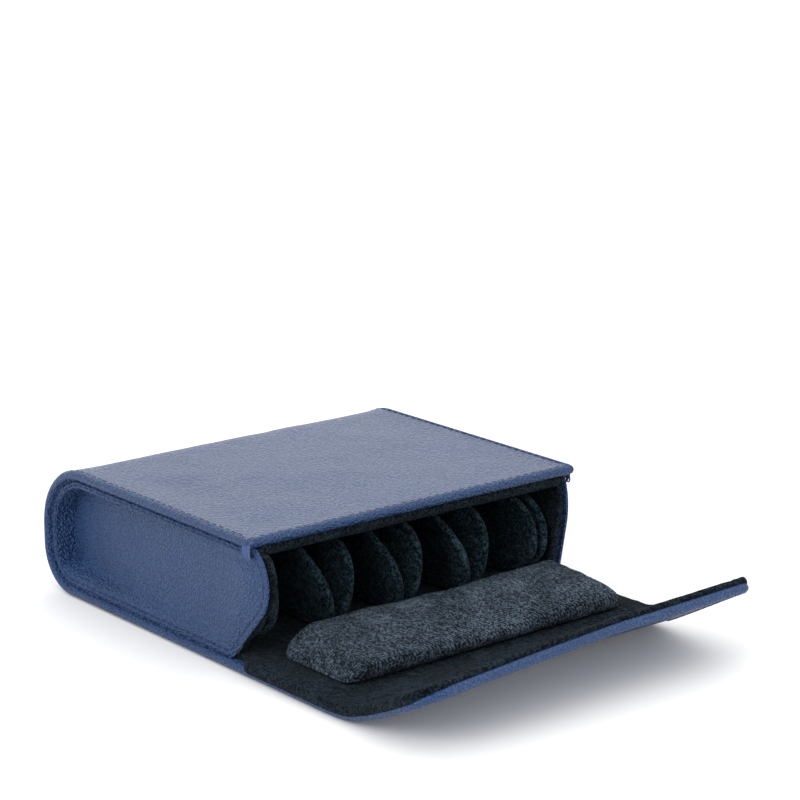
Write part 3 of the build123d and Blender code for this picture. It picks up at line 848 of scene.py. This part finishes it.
def two_sided(flat, far, faces, near_height, far_height, to_space):
    """A closed plate: the same flat mesh at two heights, sharing the points on its rim."""
    on_rim = far < 1e-7
    other = np.arange(len(flat))
    other[~on_rim] = len(flat) + np.arange((~on_rim).sum())
    points = np.concatenate([to_space(flat, near_height), to_space(flat[~on_rim], far_height[~on_rim])])
    back = [tuple(int(other[i]) for i in face)[::-1] for face in faces]
    return points, faces + back


def cut_at(name, piece, y):
    """Splits a closed piece at a plane across Y. Returns the front part as a new piece."""
    pieces = []
    for keep_front in (True, False):
        built = bmesh.new()
        built.from_mesh(piece.data)
        geometry = built.verts[:] + built.edges[:] + built.faces[:]
        made = bmesh.ops.bisect_plane(
            built, geom=geometry, plane_co=(0, y, 0), plane_no=(0, 1, 0),
            clear_outer=keep_front, clear_inner=not keep_front,
        )
        cut = [e for e in made["geom_cut"] if isinstance(e, bmesh.types.BMEdge)]
        bmesh.ops.holes_fill(built, edges=cut, sides=0)
        mesh = bpy.data.meshes.new(name)
        built.to_mesh(mesh)
        built.free()
        mesh.shade_smooth()
        mesh.set_sharp_from_angle(angle=math.radians(55))
        mesh.materials.append(piece.data.materials[0])
        pieces.append(mesh)
    piece.data = pieces[1]
    front = bpy.data.objects.new(name, pieces[0])
    bpy.context.scene.collection.objects.link(front)
    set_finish(front, piece["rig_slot"])
    return front


def soften_with_flap(piece):
    """The gusset's soft front rides on the case, with a mesh of its own."""
    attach(piece, "case")
    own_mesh(piece)


def recess_at(y):
    return RECESS * np.clip((y - RECESS_START) / (BACK - RECESS_START), 0, 1)


def flat_card(node, name, front_trim, back_trim):
    """A stiffener that lies flat between leather and velvet, its corners rounded off, cut short at the fold."""
    low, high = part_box(node)
    radius = 9 * MM
    left, right = low.x + 1 * MM + radius, high.x - 1 * MM - radius
    near, far_end = low.y + front_trim + radius, high.y - back_trim - radius
    corners = [(right, far_end), (left, far_end), (left, near), (right, near)]
    sides = []
    for turn, corner in enumerate(corners):
        bend = arc(np.array(corner), radius, 90 * turn, 90 * turn + 90)
        if sides:
            sides.append(straight(sides[-1][-1], bend[0], 5 * MM))
        sides.append(bend)
    sides.append(straight(sides[-1][-1], sides[0][0], 5 * MM))
    flat, far, faces = plate(without_doubles(np.concatenate(sides)), [0.3 * MM, 2.0 * MM], 7 * MM)
    rim = 0.3 * MM * np.clip(1 - far / (0.3 * MM), 0, 1) ** 2

    def to_space(points, height):
        return np.column_stack([points[:, 0], points[:, 1], height])

    bottom, top = low.z + 0.03 * MM + rim, high.z - 0.03 * MM - rim
    card = make_piece(name, *two_sided(flat, far, faces, bottom, top, to_space), CARD_FINISH, "card", 40)
    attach(card, BODY_OF[node])
    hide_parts(node)


def outside_panel(y, z):
    """How far a point lies outside the pushed-in panel, whose rear corners are tight."""
    rim = SHELL + FLANGE
    radius = 2.2 * MM
    back = np.clip(y - (BACK - rim - 1.3 * MM - radius), 0, None)
    above = np.clip(z - (TOP - rim - 1.2 * MM - radius), 0, None)
    under = np.clip(rim + 4.5 * MM + radius - z, 0, None)
    return np.clip(np.hypot(back, above + under) - radius, 0, None)


def gusset_skin_depth(points, far):
    """How deep the leather of a gusset lies behind its flange."""
    y, z = points[:, 0], points[:, 1]
    past = np.clip(far - FLANGE, 0, None)
    short = outside_panel(y, z)
    share = past / np.maximum(past + short, 1e-9)
    face = recess_at(y) * (0.55 * share + 0.45 * smooth(share * 1.05))
    nose = 1 - smooth((y - RECESS_START) / (18 * MM))
    belly = 0.9 * MM * smooth((far - 2.6 * MM) / (7 * MM)) * (0.35 + 0.65 * nose)
    groove = 0.28 * MM * bell(far - SEAM_IN, 0.34 * MM)
    puff = 0.22 * MM * bell(far - 1.5 * MM, 0.5 * MM)
    high = smooth((z - 16 * MM) / (10 * MM)) * smooth((y - RECESS_START + 6 * MM) / (8 * MM))
    welt = 0.75 * MM * bell(far - 0.95 * MM, 0.26 * MM) * high
    dents = 0.35 * MM * ripple(y, z, 14 * MM, 2.2) * smooth((far - 4 * MM) / (5 * MM))
    pleat = 0.5 * MM * bell(y - (BACK - 17 * MM) - (z - 8 * MM) * 0.8, 0.7 * MM) * bell(z - 9.5 * MM, 3.5 * MM)
    on_corner = (far < FLANGE + 0.6 * MM) & (z < 18 * MM)
    mitre = 0.45 * MM * bell(y - (BACK - 10 * MM) + (z - 9 * MM), 0.35 * MM) * on_corner
    round_edge = 0.5 * MM
    edge = round_edge - rounded(far, round_edge)
    return face - belly + groove - puff + welt + dents + pleat + mitre + edge


def make_gusset(side, word, slope, forward):
    """One end gusset: leather with its turned flange, card behind it, velvet inside, and its seam.

    slope is the rake below its nose; forward is how much of its soft nose stands out of the mouth."""
    def to_space(points, depth):
        x = side * (HALF - FLUSH - depth)
        past = points[:, 0] - RECESS_START
        y = np.where(past < 0, RECESS_START + past * forward, points[:, 0])
        return np.stack([x, y, points[:, 1]], axis=1)

    outline = gusset_outline(SHELL, 0.2 * MM, slope)
    insets = [v * MM for v in (
        0.12, 0.3, 0.5, 0.7, 0.95, 1.2, 1.5, 1.8, 2.05, 2.3, 2.55, 2.95, 3.3, 3.6, 3.9, 4.2, 4.6, 5.1, 5.7, 6.5
    )]
    flat, far, faces = plate(outline, insets, 1.7 * MM)
    shown = gusset_skin_depth(flat, far)
    rim = np.clip(1 - far / (0.5 * MM), 0, 1)
    behind = shown + LEATHER * (1 - rim ** 2)
    leather = make_piece(
        f"gusset_{word}_leather", *two_sided(flat, far, faces, shown, behind, to_space), LEATHER_FINISH, "leather"
    )
    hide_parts(f"gusset_leather_{word}")
    nose = cut_at(f"gusset_{word}_leather_front", leather, RECESS_START)
    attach(leather, "case")
    soften_with_flap(nose)

    outline = gusset_outline(STACK + 0.3 * MM, 0.7 * MM, slope)
    insets = [v * MM for v in (0.1, 0.3, 0.6, 1.0, 1.5, 2.1, 2.9, 4.0, 5.5, 7.5)]
    flat, far, faces = plate(outline, insets, 2.2 * MM)
    thick = VELVET * 1.05
    half_round = thick / 2
    bow = rounded(far, half_round)
    front_rim = bell(far - 1.6 * MM, 2.2 * MM) * smooth((RECESS_START - flat[:, 0]) / (4 * MM))
    lump = 0.3 * MM * ripple(flat[:, 0], flat[:, 1], 5 * MM, 4.4) * np.clip(far / MM, 0, 1)
    lump += front_rim * MM * (0.9 + 0.5 * ripple(flat[:, 0], flat[:, 1], 1.1 * MM, 3.3))
    middle = LEATHER + GUSSET_CARD + half_round + recess_at(flat[:, 0])
    velvet = make_piece(
        f"gusset_{word}_velvet",
        *two_sided(flat, far, faces, middle - bow, middle + bow + lump, to_space), VELVET_FINISH, "velvet",
    )
    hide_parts(f"gusset_lining_{word}")
    rim_piece = cut_at(f"gusset_{word}_velvet_front", velvet, RECESS_START)
    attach(velvet, "case")
    soften_with_flap(rim_piece)
    gusset_stitches(side, word, slope, to_space)
    gusset_card(word, slope, to_space)


def gusset_card(word, slope, to_space):
    """The stiffener between a gusset's leather and velvet, behind its soft front."""
    outline = gusset_outline(SHELL + 0.8 * MM, 0.7 * MM, slope)
    outline[:, 0] = np.maximum(outline[:, 0], RECESS_START + 1 * MM)
    flat, far, faces = plate(without_doubles(outline), [0.3 * MM, 1.0 * MM], 4 * MM)
    deep = LEATHER + 0.02 * MM + recess_at(flat[:, 0])
    rim = np.clip(1 - far / (0.3 * MM), 0, 1) ** 2
    shown, behind = deep + 0.5 * GUSSET_CARD * rim, deep + (0.96 - 0.46 * rim) * GUSSET_CARD
    card = make_piece(
        f"gusset_{word}_stiffener", *two_sided(flat, far, faces, shown, behind, to_space), CARD_FINISH, "card", 40
    )
    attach(card, "case")
    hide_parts(f"gusset_board_{word}")


# ---- stitching -----------------------------------------------------------------------------------
def ring_faces(rings, sides, first=0):
    """Faces of a closed tube whose points run ring after ring."""
    faces = []
    for ring in range(rings - 1):
        for k in range(sides):
            a, b = first + ring * sides + k, first + ring * sides + (k + 1) % sides
            faces.append((a, b, b + sides, a + sides))
    faces.append(tuple(first + k for k in range(sides))[::-1])
    faces.append(tuple(first + (rings - 1) * sides + k for k in range(sides)))
    return faces


def sewn_row(points, normals, skip_ends=0.0):
    """Stitches along a line of points: each dips into the leather at its two ends."""
    gaps = np.linalg.norm(np.diff(points, axis=0), axis=1)
    run = np.concatenate([[0], np.cumsum(gaps)])
    length = run[-1] - 2 * skip_ends
    count = int(length // STITCH_PITCH)
    spare = skip_ends + (length - count * STITCH_PITCH) / 2
    stations_along = [-1.0, -0.82, -0.45, 0.0, 0.45, 0.82, 1.0]
    rise = [-0.28, 0.06, 0.23, 0.27, 0.23, 0.06, -0.28]
    girth = [0.35, 0.8, 1.0, 1.05, 1.0, 0.8, 0.35]
    sides = 6
    verts, faces = [], []

    def at_run(values, place):
        return np.array([np.interp(place, run, values[:, k]) for k in range(3)])

    for number in range(count):
        middle = spare + (number + 0.5) * STITCH_PITCH
        first = len(verts)
        lean = 0.10 * math.sin(number * 2.4)
        for share, up, fat in zip(stations_along, rise, girth):
            at = middle + share * STITCH_LENGTH / 2
            here = at_run(points, at)
            ahead = at_run(points, at + 0.3 * MM) - here
            if np.linalg.norm(ahead) < 1e-9:
                ahead = here - at_run(points, at - 0.3 * MM)
            ahead = unit(ahead)
            out = unit(at_run(normals, at))
            beside = unit(np.cross(out, ahead))
            here = here + out * up * MM + beside * lean * share * MM * 2
            for k in range(sides):
                angle = 2 * math.pi * k / sides
                flattened = beside * math.cos(angle) * 1.15 + out * math.sin(angle) * 0.85
                verts.append(here + flattened * THREAD * fat)
        faces += ring_faces(len(stations_along), sides, first)
    return verts, faces


def joined(rows):
    verts, faces = [], []
    for more_verts, more_faces in rows:
        shift = len(verts)
        verts += more_verts
        faces += [tuple(i + shift for i in face) for face in more_faces]
    return verts, faces


def seam_on(sheet, line):
    """Points and outward directions along a line of unrolled (across, along) places on a sheet."""
    line = np.array(line)
    step = 0.05 * MM
    here = sheet.points(line[:, 0], line[:, 1])
    right = sheet.points(line[:, 0] + step, line[:, 1])
    up = sheet.points(line[:, 0], line[:, 1] + step)
    normal = np.cross(right - here, up - here)
    normal /= np.linalg.norm(normal, axis=1, keepdims=True)
    facing = np.array([SIDE.at(v)[1] for v in np.clip(line[:, 1], 0, SIDE.length)])
    sign = np.sign(normal[:, 1] * facing[:, 0] + normal[:, 2] * facing[:, 1])
    normal = normal * sign[:, None]
    pressed = on_base(line[:, 1])[:, None] * 0.42 * MM
    return here - normal * pressed, normal


def straight_line(start, stop, step=1.2 * MM):
    count = max(2, int(np.linalg.norm(np.subtract(stop, start)) / step))
    return [np.array(start) + (np.array(stop) - np.array(start)) * k / count for k in range(count + 1)]


def leather_stitches(sheet):
    """The seam near the edge of the leather: along the top's front, down both sides, and round the lip."""
    side = HALF - SEAM_IN
    low, high = SEAM_IN, SIDE.length - SEAM_IN
    body = [sewn_row(*seam_on(sheet, straight_line((-side, low), (side, low))), skip_ends=1.5 * MM)]
    for x in (-side, side):
        body.append(sewn_row(*seam_on(sheet, straight_line((x, low + 2.5 * MM), (x, CUTS[0])))))
    piece = make_piece("body_seam", *joined(body), THREAD_FINISH, "thread")
    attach(piece, "case")
    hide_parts("top_stitching")
    flap_seams = [("front_seam", CUTS[0], CUTS[1], 1, ["front_stitching"]),
                  ("strip_seam", CUTS[1], CUTS[2], 2, []),
                  ("lip_seam", CUTS[2], high, 3, ["lip_stitching"])]
    for name, start, stop, part, replaced in flap_seams:
        rows = [sewn_row(*seam_on(sheet, straight_line((x, start), (x, stop)))) for x in (-side, side)]
        if part == 3:
            rows.append(sewn_row(*seam_on(sheet, straight_line((-side, high), (side, high)))))
        piece = make_piece(name, *joined(rows), THREAD_FINISH, "thread")
        ride_or_bend(piece, part)
        if replaced:
            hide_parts(*replaced)


def gusset_stitches(side, word, slope, to_space):
    """The seam on the gusset's flange."""
    outline = gusset_outline(SHELL, 0.2 * MM, slope)
    line = outline + inward_of(outline) * SEAM_IN
    line = line[np.abs(edge_distance(line, outline) - SEAM_IN) < 0.05 * MM]
    depth = gusset_skin_depth(line, np.full(len(line), SEAM_IN))
    points = to_space(line, depth)
    normals = np.tile([float(side), 0, 0], (len(points), 1))
    front = (line[:, 0] < RECESS_START)
    upper = np.flatnonzero(front & (line[:, 1] > 9 * MM))
    rear = np.flatnonzero(~front)
    nose_row = sewn_row(points[upper], normals[upper], skip_ends=0.5 * MM)
    piece = make_piece(f"gusset_{word}_front_seam", *nose_row, THREAD_FINISH, "thread")
    soften_with_flap(piece)
    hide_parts(f"gusset_stitching_{word}")
    piece = make_piece(f"gusset_{word}_seam", *sewn_row(points[rear], normals[rear]), THREAD_FINISH, "thread")
    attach(piece, "case")


# ---- dividers ------------------------------------------------------------------------------------
def quarter(centre, wide, tall, start, stop, step=0.9 * MM):
    """Points along an elliptical quarter, without its last point."""
    count = max(3, round(math.pi / 4 * (wide + tall) / step))
    angles = np.radians(start + (stop - start) * np.arange(count) / count)
    return np.stack([centre[0] + wide * np.cos(angles), centre[1] + tall * np.sin(angles)], axis=1)


def leaf_outline(length, height, upper, lower):
    """Side view of a leaf. upper and lower are the (deep, tall) roundings of its front."""
    top, low = (upper[0], upper[1] * height), (lower[0], lower[1] * height)
    return np.concatenate([
        straight((low[0], 0.0), (length - 1.5 * MM, 0.0)),
        arc((length - 1.5 * MM, 1.5 * MM), 1.5 * MM, -90, 0),
        straight((length, 1.5 * MM), (length, height - 1.5 * MM)),
        arc((length - 1.5 * MM, height - 1.5 * MM), 1.5 * MM, 0, 90),
        straight((length - 1.5 * MM, height), (top[0], height)),
        quarter((top[0], height - top[1]), *top, 90, 180),
        straight((0.0, height - top[1]), (0.0, low[1])),
        quarter(low, *low, 180, 270),
    ])


def make_leaf(number, word):
    """One velvet divider leaf, bowed and lumpy, with a seam round its front edge."""
    node = f"divider_{number}_{word}_velvet"
    joint = JOINTS[f"divider_{number}_{word}_fold"]
    foot, axis = np.array(joint["pos_m"]), unit(np.array(joint["axis"]))
    cloud = np.array([v.co for v in frame["nodes"][node].data.vertices])
    centred = cloud - cloud.mean(0)
    across = np.linalg.svd(centred, full_matrices=False)[2][2]
    across *= math.copysign(1, across[0])
    upward = np.cross(axis, across)
    upward *= math.copysign(1, upward[2])
    spans = [(cloud - foot) @ d for d in (axis, upward, across)]
    length, height = np.ptp(spans[0]), np.ptp(spans[1])
    half = np.ptp(spans[2]) / 2
    corner = foot + axis * spans[0].min() + upward * spans[1].min() + across * (spans[2].min() + half)
    at_end = number in (1, LEAF_PAIRS)
    rounds = LEAF_ROUNDS["end" if at_end else word]
    outline = leaf_outline(length, height, *rounds)
    insets = [v * MM for v in (0.12, 0.35, 0.65, 1.0, 1.35, 1.7, 2.0, 2.4, 3.0, 4.0, 5.5)]
    flat, far, faces = plate(outline, insets, 2.2 * MM)
    bow = rounded(far, half)
    seed = number * 3.7 + (0.5 if word == "left" else 0.0)
    wave = 0.32 * MM * ripple(flat[:, 0], flat[:, 1], 13 * MM, seed) * smooth(far / (3 * MM))
    seam = 0.55 * MM * bell(far - 1.9 * MM, 0.42 * MM) * (flat[:, 0] < 34 * MM)
    lump = 0.20 * MM * ripple(flat[:, 0], flat[:, 1], 1.3 * MM, seed) * np.clip(far / MM, 0, 1)

    def flare(points):
        """The two leaves of a pair lean apart towards their upper front corners."""
        most = 0.0 if at_end else LEAF_FLARE[word]
        rise = np.clip(points[:, 1] / height, 0, 1)
        return most * rise ** 1.4 * (1 - smooth(points[:, 0] / (34 * MM)))

    def to_space(points, height_out):
        return corner + points[:, :1] * axis + points[:, 1:2] * upward + height_out[:, None] * across

    wave = wave - flare(flat)
    near = bow - seam + wave + lump
    back = -bow + seam + wave - lump
    piece = make_piece(
        f"divider_{number}_{word}_leaf", *two_sided(flat, far, faces, near, back, to_space), LEAF_FINISH,
        "divider_velvet", 80,
    )
    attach(piece, f"divider_{number}_{word}")
    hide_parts(node)
    outline = leaf_outline(length - 2 * LEAF_CARD_INSET, height - 2 * LEAF_CARD_INSET, *rounds)
    flat, far, faces = plate(outline, [0.3 * MM, MM], 4 * MM)
    flat = flat + LEAF_CARD_INSET
    wave = -flare(flat)
    half_card = rounded(far, 0.5 * MM)
    sides = two_sided(flat, far, faces, wave + half_card, wave - half_card, to_space)
    card = make_piece(f"divider_{number}_{word}_stiffener", *sides, CARD_FINISH, "card")
    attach(card, f"divider_{number}_{word}")
    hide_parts(f"divider_{number}_{word}_card")


# ---- the pad -------------------------------------------------------------------------------------
def pad_start(low, high):
    """A plain block with softened edges, a little smaller than the pad."""
    built = bmesh.new()
    bmesh.ops.create_cube(built, size=1)
    for vert in built.verts:
        for axis in range(3):
            span = high[axis] - low[axis] - (2 * PAD_SHRINK if axis < 2 else PAD_SHRINK)
            base = low[axis] + (PAD_SHRINK if axis < 2 else 0)
            vert.co[axis] = base + (vert.co[axis] + 0.5) * span
    upper = [e for e in built.edges if all(v.co.z > low.z + 1 * MM for v in e.verts)]
    upright = [e for e in built.edges if abs(e.verts[0].co.z - e.verts[1].co.z) > 1 * MM]
    bmesh.ops.bevel(built, geom=upper + upright, offset=PAD_BEVEL, segments=4, profile=0.5, affect="EDGES")
    mesh = bpy.data.meshes.new("pad")
    built.to_mesh(mesh)
    built.free()
    piece = bpy.data.objects.new("pad", mesh)
    bpy.context.scene.collection.objects.link(piece)
    return piece


def settle(piece):
    """Applies every modifier."""
    graph = bpy.context.evaluated_depsgraph_get()
    mesh = bpy.data.meshes.new_from_object(piece.evaluated_get(graph))
    piece.modifiers.clear()
    piece.data = mesh


def swell(piece, low):
    """Fills the pad from inside as its foam does; its foot stays glued down."""
    rest = np.array([v.co for v in piece.data.vertices])
    group = piece.vertex_groups.new(name="glued")
    group.add([i for i, co in enumerate(rest) if co[2] < low.z + 0.8 * MM], 1.0, "REPLACE")
    cloth = piece.modifiers.new("foam", "CLOTH")
    cloth.settings.use_pressure = True
    cloth.settings.uniform_pressure_force = FOAM_PRESSURE
    cloth.settings.effector_weights.gravity = 0
    cloth.settings.quality = 6
    cloth.settings.vertex_group_mass = "glued"
    cloth.settings.tension_stiffness = 6
    cloth.settings.compression_stiffness = 6
    cloth.settings.shear_stiffness = 4
    for step in range(1, FOAM_STEPS + 1):
        bpy.context.scene.frame_set(step)
    settle(piece)
    moved = np.array([v.co for v in piece.data.vertices])
    shift = moved - rest
    size = np.linalg.norm(shift, axis=1, keepdims=True)
    moved = rest + shift * np.minimum(1, PAD_SWELL / np.maximum(size, 1e-9))
    piece.data.vertices.foreach_set("co", moved.ravel())
    bpy.context.scene.frame_set(1)


def make_pad():
    """The thick velvet pad on the front panel, with a welt round its top."""
    low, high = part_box("pad_cover")
    piece = pad_start(low, high)
    remesh = piece.modifiers.new("even", "REMESH")
    remesh.mode = "VOXEL"
    remesh.voxel_size = PAD_VOXEL
    settle(piece)
    swell(piece, low)
    finer = piece.modifiers.new("finer", "SUBSURF")
    finer.levels = finer.render_levels = 1
    settle(piece)
    points = np.array([v.co for v in piece.data.vertices])
    x, y, rise = points[:, 0].copy(), points[:, 1].copy(), points[:, 2] - low.z
    upper = np.clip(rise / (high.z - low.z), 0, 1)
    back = (y - low.y) / (high.y - low.y)
    left_slope = smooth((low.x + (5 + 8 * back) * MM - x) / ((5 + 8 * back) * MM))
    right_slope = smooth((x - high.x + 7 * MM) / (8 * MM))
    shape = (0.80 + 0.20 * smooth(back * 1.7)) * (1 - 0.62 * left_slope) * (1 - 0.45 * right_slope)
    points[:, 2] = low.z + rise * shape
    points[:, 0] += (x > 0) * 6.0 * MM * smooth((x - 25 * MM) / (30 * MM))
    points[:, 0] -= 1.5 * MM * smooth((-30 * MM - x) / (22 * MM))
    leftward = np.clip((high.x - x) / (high.x - low.x), 0, 1)
    points[:, 1] -= (0.6 + 5.4 * leftward) * MM * smooth((0.45 - back) / 0.45) * (0.35 + 0.65 * upper)
    welt = bell(y - (high.y - 5.0 * MM), 0.9 * MM) - 0.8 * bell(y - (high.y - 7.0 * MM), 0.8 * MM)
    points[:, 2] += 0.55 * MM * welt * upper ** 3
    foot = bell(x - low.x - 0.8 * MM, 1.3 * MM) * (1 - upper) * bell(rise - 1.2 * MM, 1.5 * MM)
    points[:, 0] -= 1.0 * MM * foot
    points[:, 2] += 0.9 * MM * ripple(x, y, 17 * MM, 9.1) * upper + 0.35 * MM * ripple(x, y, 6 * MM, 4.1) * upper
    points[:, 1] += 0.8 * MM * ripple(x, rise, 22 * MM, 8.2) * upper
    points += MM * 0.12 * ripple(x + rise, y, 1.4 * MM, 2.2)[:, None] * upper[:, None]
    points[:, 2] = np.maximum(points[:, 2], low.z - 0.2 * MM)
    piece.data.vertices.foreach_set("co", points.ravel())
    piece.data.update()
    piece.data.shade_smooth()
    piece.data.materials.clear()
    piece.data.materials.append(PAD_FINISH)
    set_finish(piece, "pad_velvet")
    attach(piece, "flap_front")
    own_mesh(piece)
    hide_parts("pad_cover", "pad_foam")


# ---- knots at the front corners ------------------------------------------------------------------
def tube(path, radius, sides=6):
    """Points and faces of a closed tube along a path."""
    path = np.array(path)
    verts = []
    for index, here in enumerate(path):
        ahead = unit(path[min(index + 1, len(path) - 1)] - path[max(index - 1, 0)])
        guide = np.array([0.3, 0.2, 1.0]) if abs(ahead[2]) < 0.9 else np.array([1.0, 0.1, 0.2])
        beside = unit(np.cross(guide, ahead))
        out = np.cross(ahead, beside)
        for k in range(sides):
            angle = 2 * math.pi * k / sides
            verts.append(here + (beside * math.cos(angle) + out * math.sin(angle)) * radius)
    return verts, ring_faces(len(path), sides)


def make_tack(side, word, back):
    """A knot of thread that ties the gusset's front to the cover's corner, pulled back with its gusset."""
    low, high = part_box(f"corner_tack_{word}")
    centre = (np.array(low) + np.array(high)) / 2 + np.array([0, back, 0])
    rng = random.Random(7 + side)
    rows = []
    for number in range(KNOT_LOOPS):
        shift = (number - (KNOT_LOOPS - 1) / 2) * 0.50 * MM + rng.uniform(-0.2, 0.2) * MM
        tall = rng.uniform(2.3, 3.3) * MM
        lean = rng.uniform(-0.5, 0.5)
        loop = []
        for k in range(13):
            angle = math.pi * (-0.2 + 1.4 * k / 12)
            out = 1.15 * MM * math.sin(angle)
            up = -tall * math.cos(angle)
            loop.append(centre + np.array([side * (out + 0.15 * MM), shift + lean * up, up]))
        rows.append(tube(loop, THREAD * rng.uniform(1.3, 1.8)))
    for _ in range(KNOT_ENDS):
        start = centre + np.array([side * 0.9 * MM, 0, rng.uniform(-1.5, 1.5) * MM])
        loop = [start]
        for _ in range(8):
            swing = [rng.uniform(-0.7, 0.3) * side, rng.uniform(-0.7, 0.7), rng.uniform(-0.8, 0.6)]
            loop.append(loop[-1] + np.array(swing) * 0.6 * MM)
        rows.append(tube(loop, THREAD * 0.45))
    piece = make_piece(f"corner_knot_{word}", *joined(rows), KNOT_FINISH, "thread")
    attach(piece, "case")
    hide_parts(f"corner_tack_{word}")


# ---- carried-over solids -------------------------------------------------------------------------
def dress_frame_nodes():
    """Card, steel and thread finishes on the solids that keep their own shape."""
    finishes = {
        "card": CARD_FINISH, "magnet": MAGNET_FINISH, "thread": THREAD_FINISH, "leather": LEATHER_FINISH,
        "velvet": VELVET_FINISH, "divider_velvet": LEAF_FINISH, "pad_velvet": PAD_FINISH, "foam": CARD_FINISH,
    }
    slots = {row["node"]: row["material_slot"] for row in frame["record"]["subparts"]}
    for node, thing in frame["nodes"].items():
        thing.data.materials.clear()
        thing.data.materials.append(finishes[slots[node]])


# ---- studio --------------------------------------------------------------------------------------
WORLD_LIGHT = 0.48
OVERHEAD_LIGHT = 2.2
OVERHEAD_SPREAD = math.radians(140)
LAMPS = [   # name, place, size in metres, watts
    ("rim", (0.80, 1.20, 0.40), 1.3, 9.0),
    ("fill", (0.30, -1.45, 0.35), 0.7, 6.5),
    ("side", (-1.3, -0.2, 0.8), 0.8, 7.5),
]
LAMPS_AIM = (0, -0.02, 0.02)
FLOOR_HALF = 6.0
FLOOR_GAP = 0.4 * MM          # keeps the floor clear of the leather's underside
CAMERA_LENS = 116.6
CAMERA_PLACE = (-0.5212, -0.6980, 0.2892)
CAMERA_TURN = tuple(math.radians(a) for a in (90 - 14.235, 0.1, -38.912))


def look(thing, position, target):
    """Puts a lamp in its place, aimed at a point."""
    thing.location = position
    thing.rotation_euler = (Vector(target) - Vector(position)).to_track_quat("-Z", "Y").to_euler()


def make_studio():
    built = bmesh.new()
    bmesh.ops.create_grid(built, x_segments=2, y_segments=2, size=FLOOR_HALF)
    mesh = bpy.data.meshes.new("floor")
    built.to_mesh(mesh)
    built.free()
    mesh.materials.append(studio_floor())
    floor = bpy.data.objects.new("floor", mesh)
    floor.location.z = -FLOOR_GAP
    bpy.context.scene.collection.objects.link(floor)
    world = bpy.data.worlds.new("studio")
    world.use_nodes = True
    world.node_tree.nodes["Background"].inputs[0].default_value = (1.0, 1.0, 1.0, 1.0)
    world.node_tree.nodes["Background"].inputs[1].default_value = WORLD_LIGHT
    bpy.context.scene.world = world
    overhead = bpy.data.lights.new("overhead", "SUN")
    overhead.angle = OVERHEAD_SPREAD
    overhead.energy = OVERHEAD_LIGHT
    lamp = bpy.data.objects.new("overhead", overhead)
    bpy.context.scene.collection.objects.link(lamp)
    look(lamp, (-0.10, 0.05, 1.0), (0, 0, 0))
    for name, place, size, power in LAMPS:
        light = bpy.data.lights.new(name, "AREA")
        light.size = size
        light.energy = power
        lamp = bpy.data.objects.new(name, light)
        bpy.context.scene.collection.objects.link(lamp)
        look(lamp, place, LAMPS_AIM)


def make_camera():
    """Long lens, a little above the case, from its left front."""
    camera = bpy.data.cameras.new("camera")
    camera.sensor_width = 36
    camera.lens = CAMERA_LENS
    camera.clip_start = 0.01
    thing = bpy.data.objects.new("camera", camera)
    bpy.context.scene.collection.objects.link(thing)
    thing.location = CAMERA_PLACE
    thing.rotation_euler = CAMERA_TURN
    bpy.context.scene.camera = thing


# ---- build ---------------------------------------------------------------------------------------
bpy.context.scene.view_settings.view_transform = "Standard"
make_camera()
make_studio()
dress_frame_nodes()
LEATHER_SHEET = leather_sheet()
leather_stitches(LEATHER_SHEET)
velvet_sheet()
lip_card()
for MAGNET in ("lip_magnet_1", "lip_magnet_2"):
    lip_disc(MAGNET)
flat_card("front_board", "front_stiffener", 0.3 * MM, 1.8 * MM)
flat_card("base_board", "base_stiffener", 1.8 * MM, 0.3 * MM)
for SIGN, WORD in ((-1, "left"), (1, "right")):
    make_gusset(SIGN, WORD, *((NOSE_SLOPE, 1.0) if SIGN < 0 else (RIGHT_NOSE_SLOPE, RIGHT_NOSE_OUT)))
    make_tack(SIGN, WORD, 0.0 if SIGN < 0 else RIGHT_KNOT_BACK)
for NUMBER in range(1, LEAF_PAIRS + 1):
    for WORD in ("left", "right"):
        make_leaf(NUMBER, WORD)
make_pad()
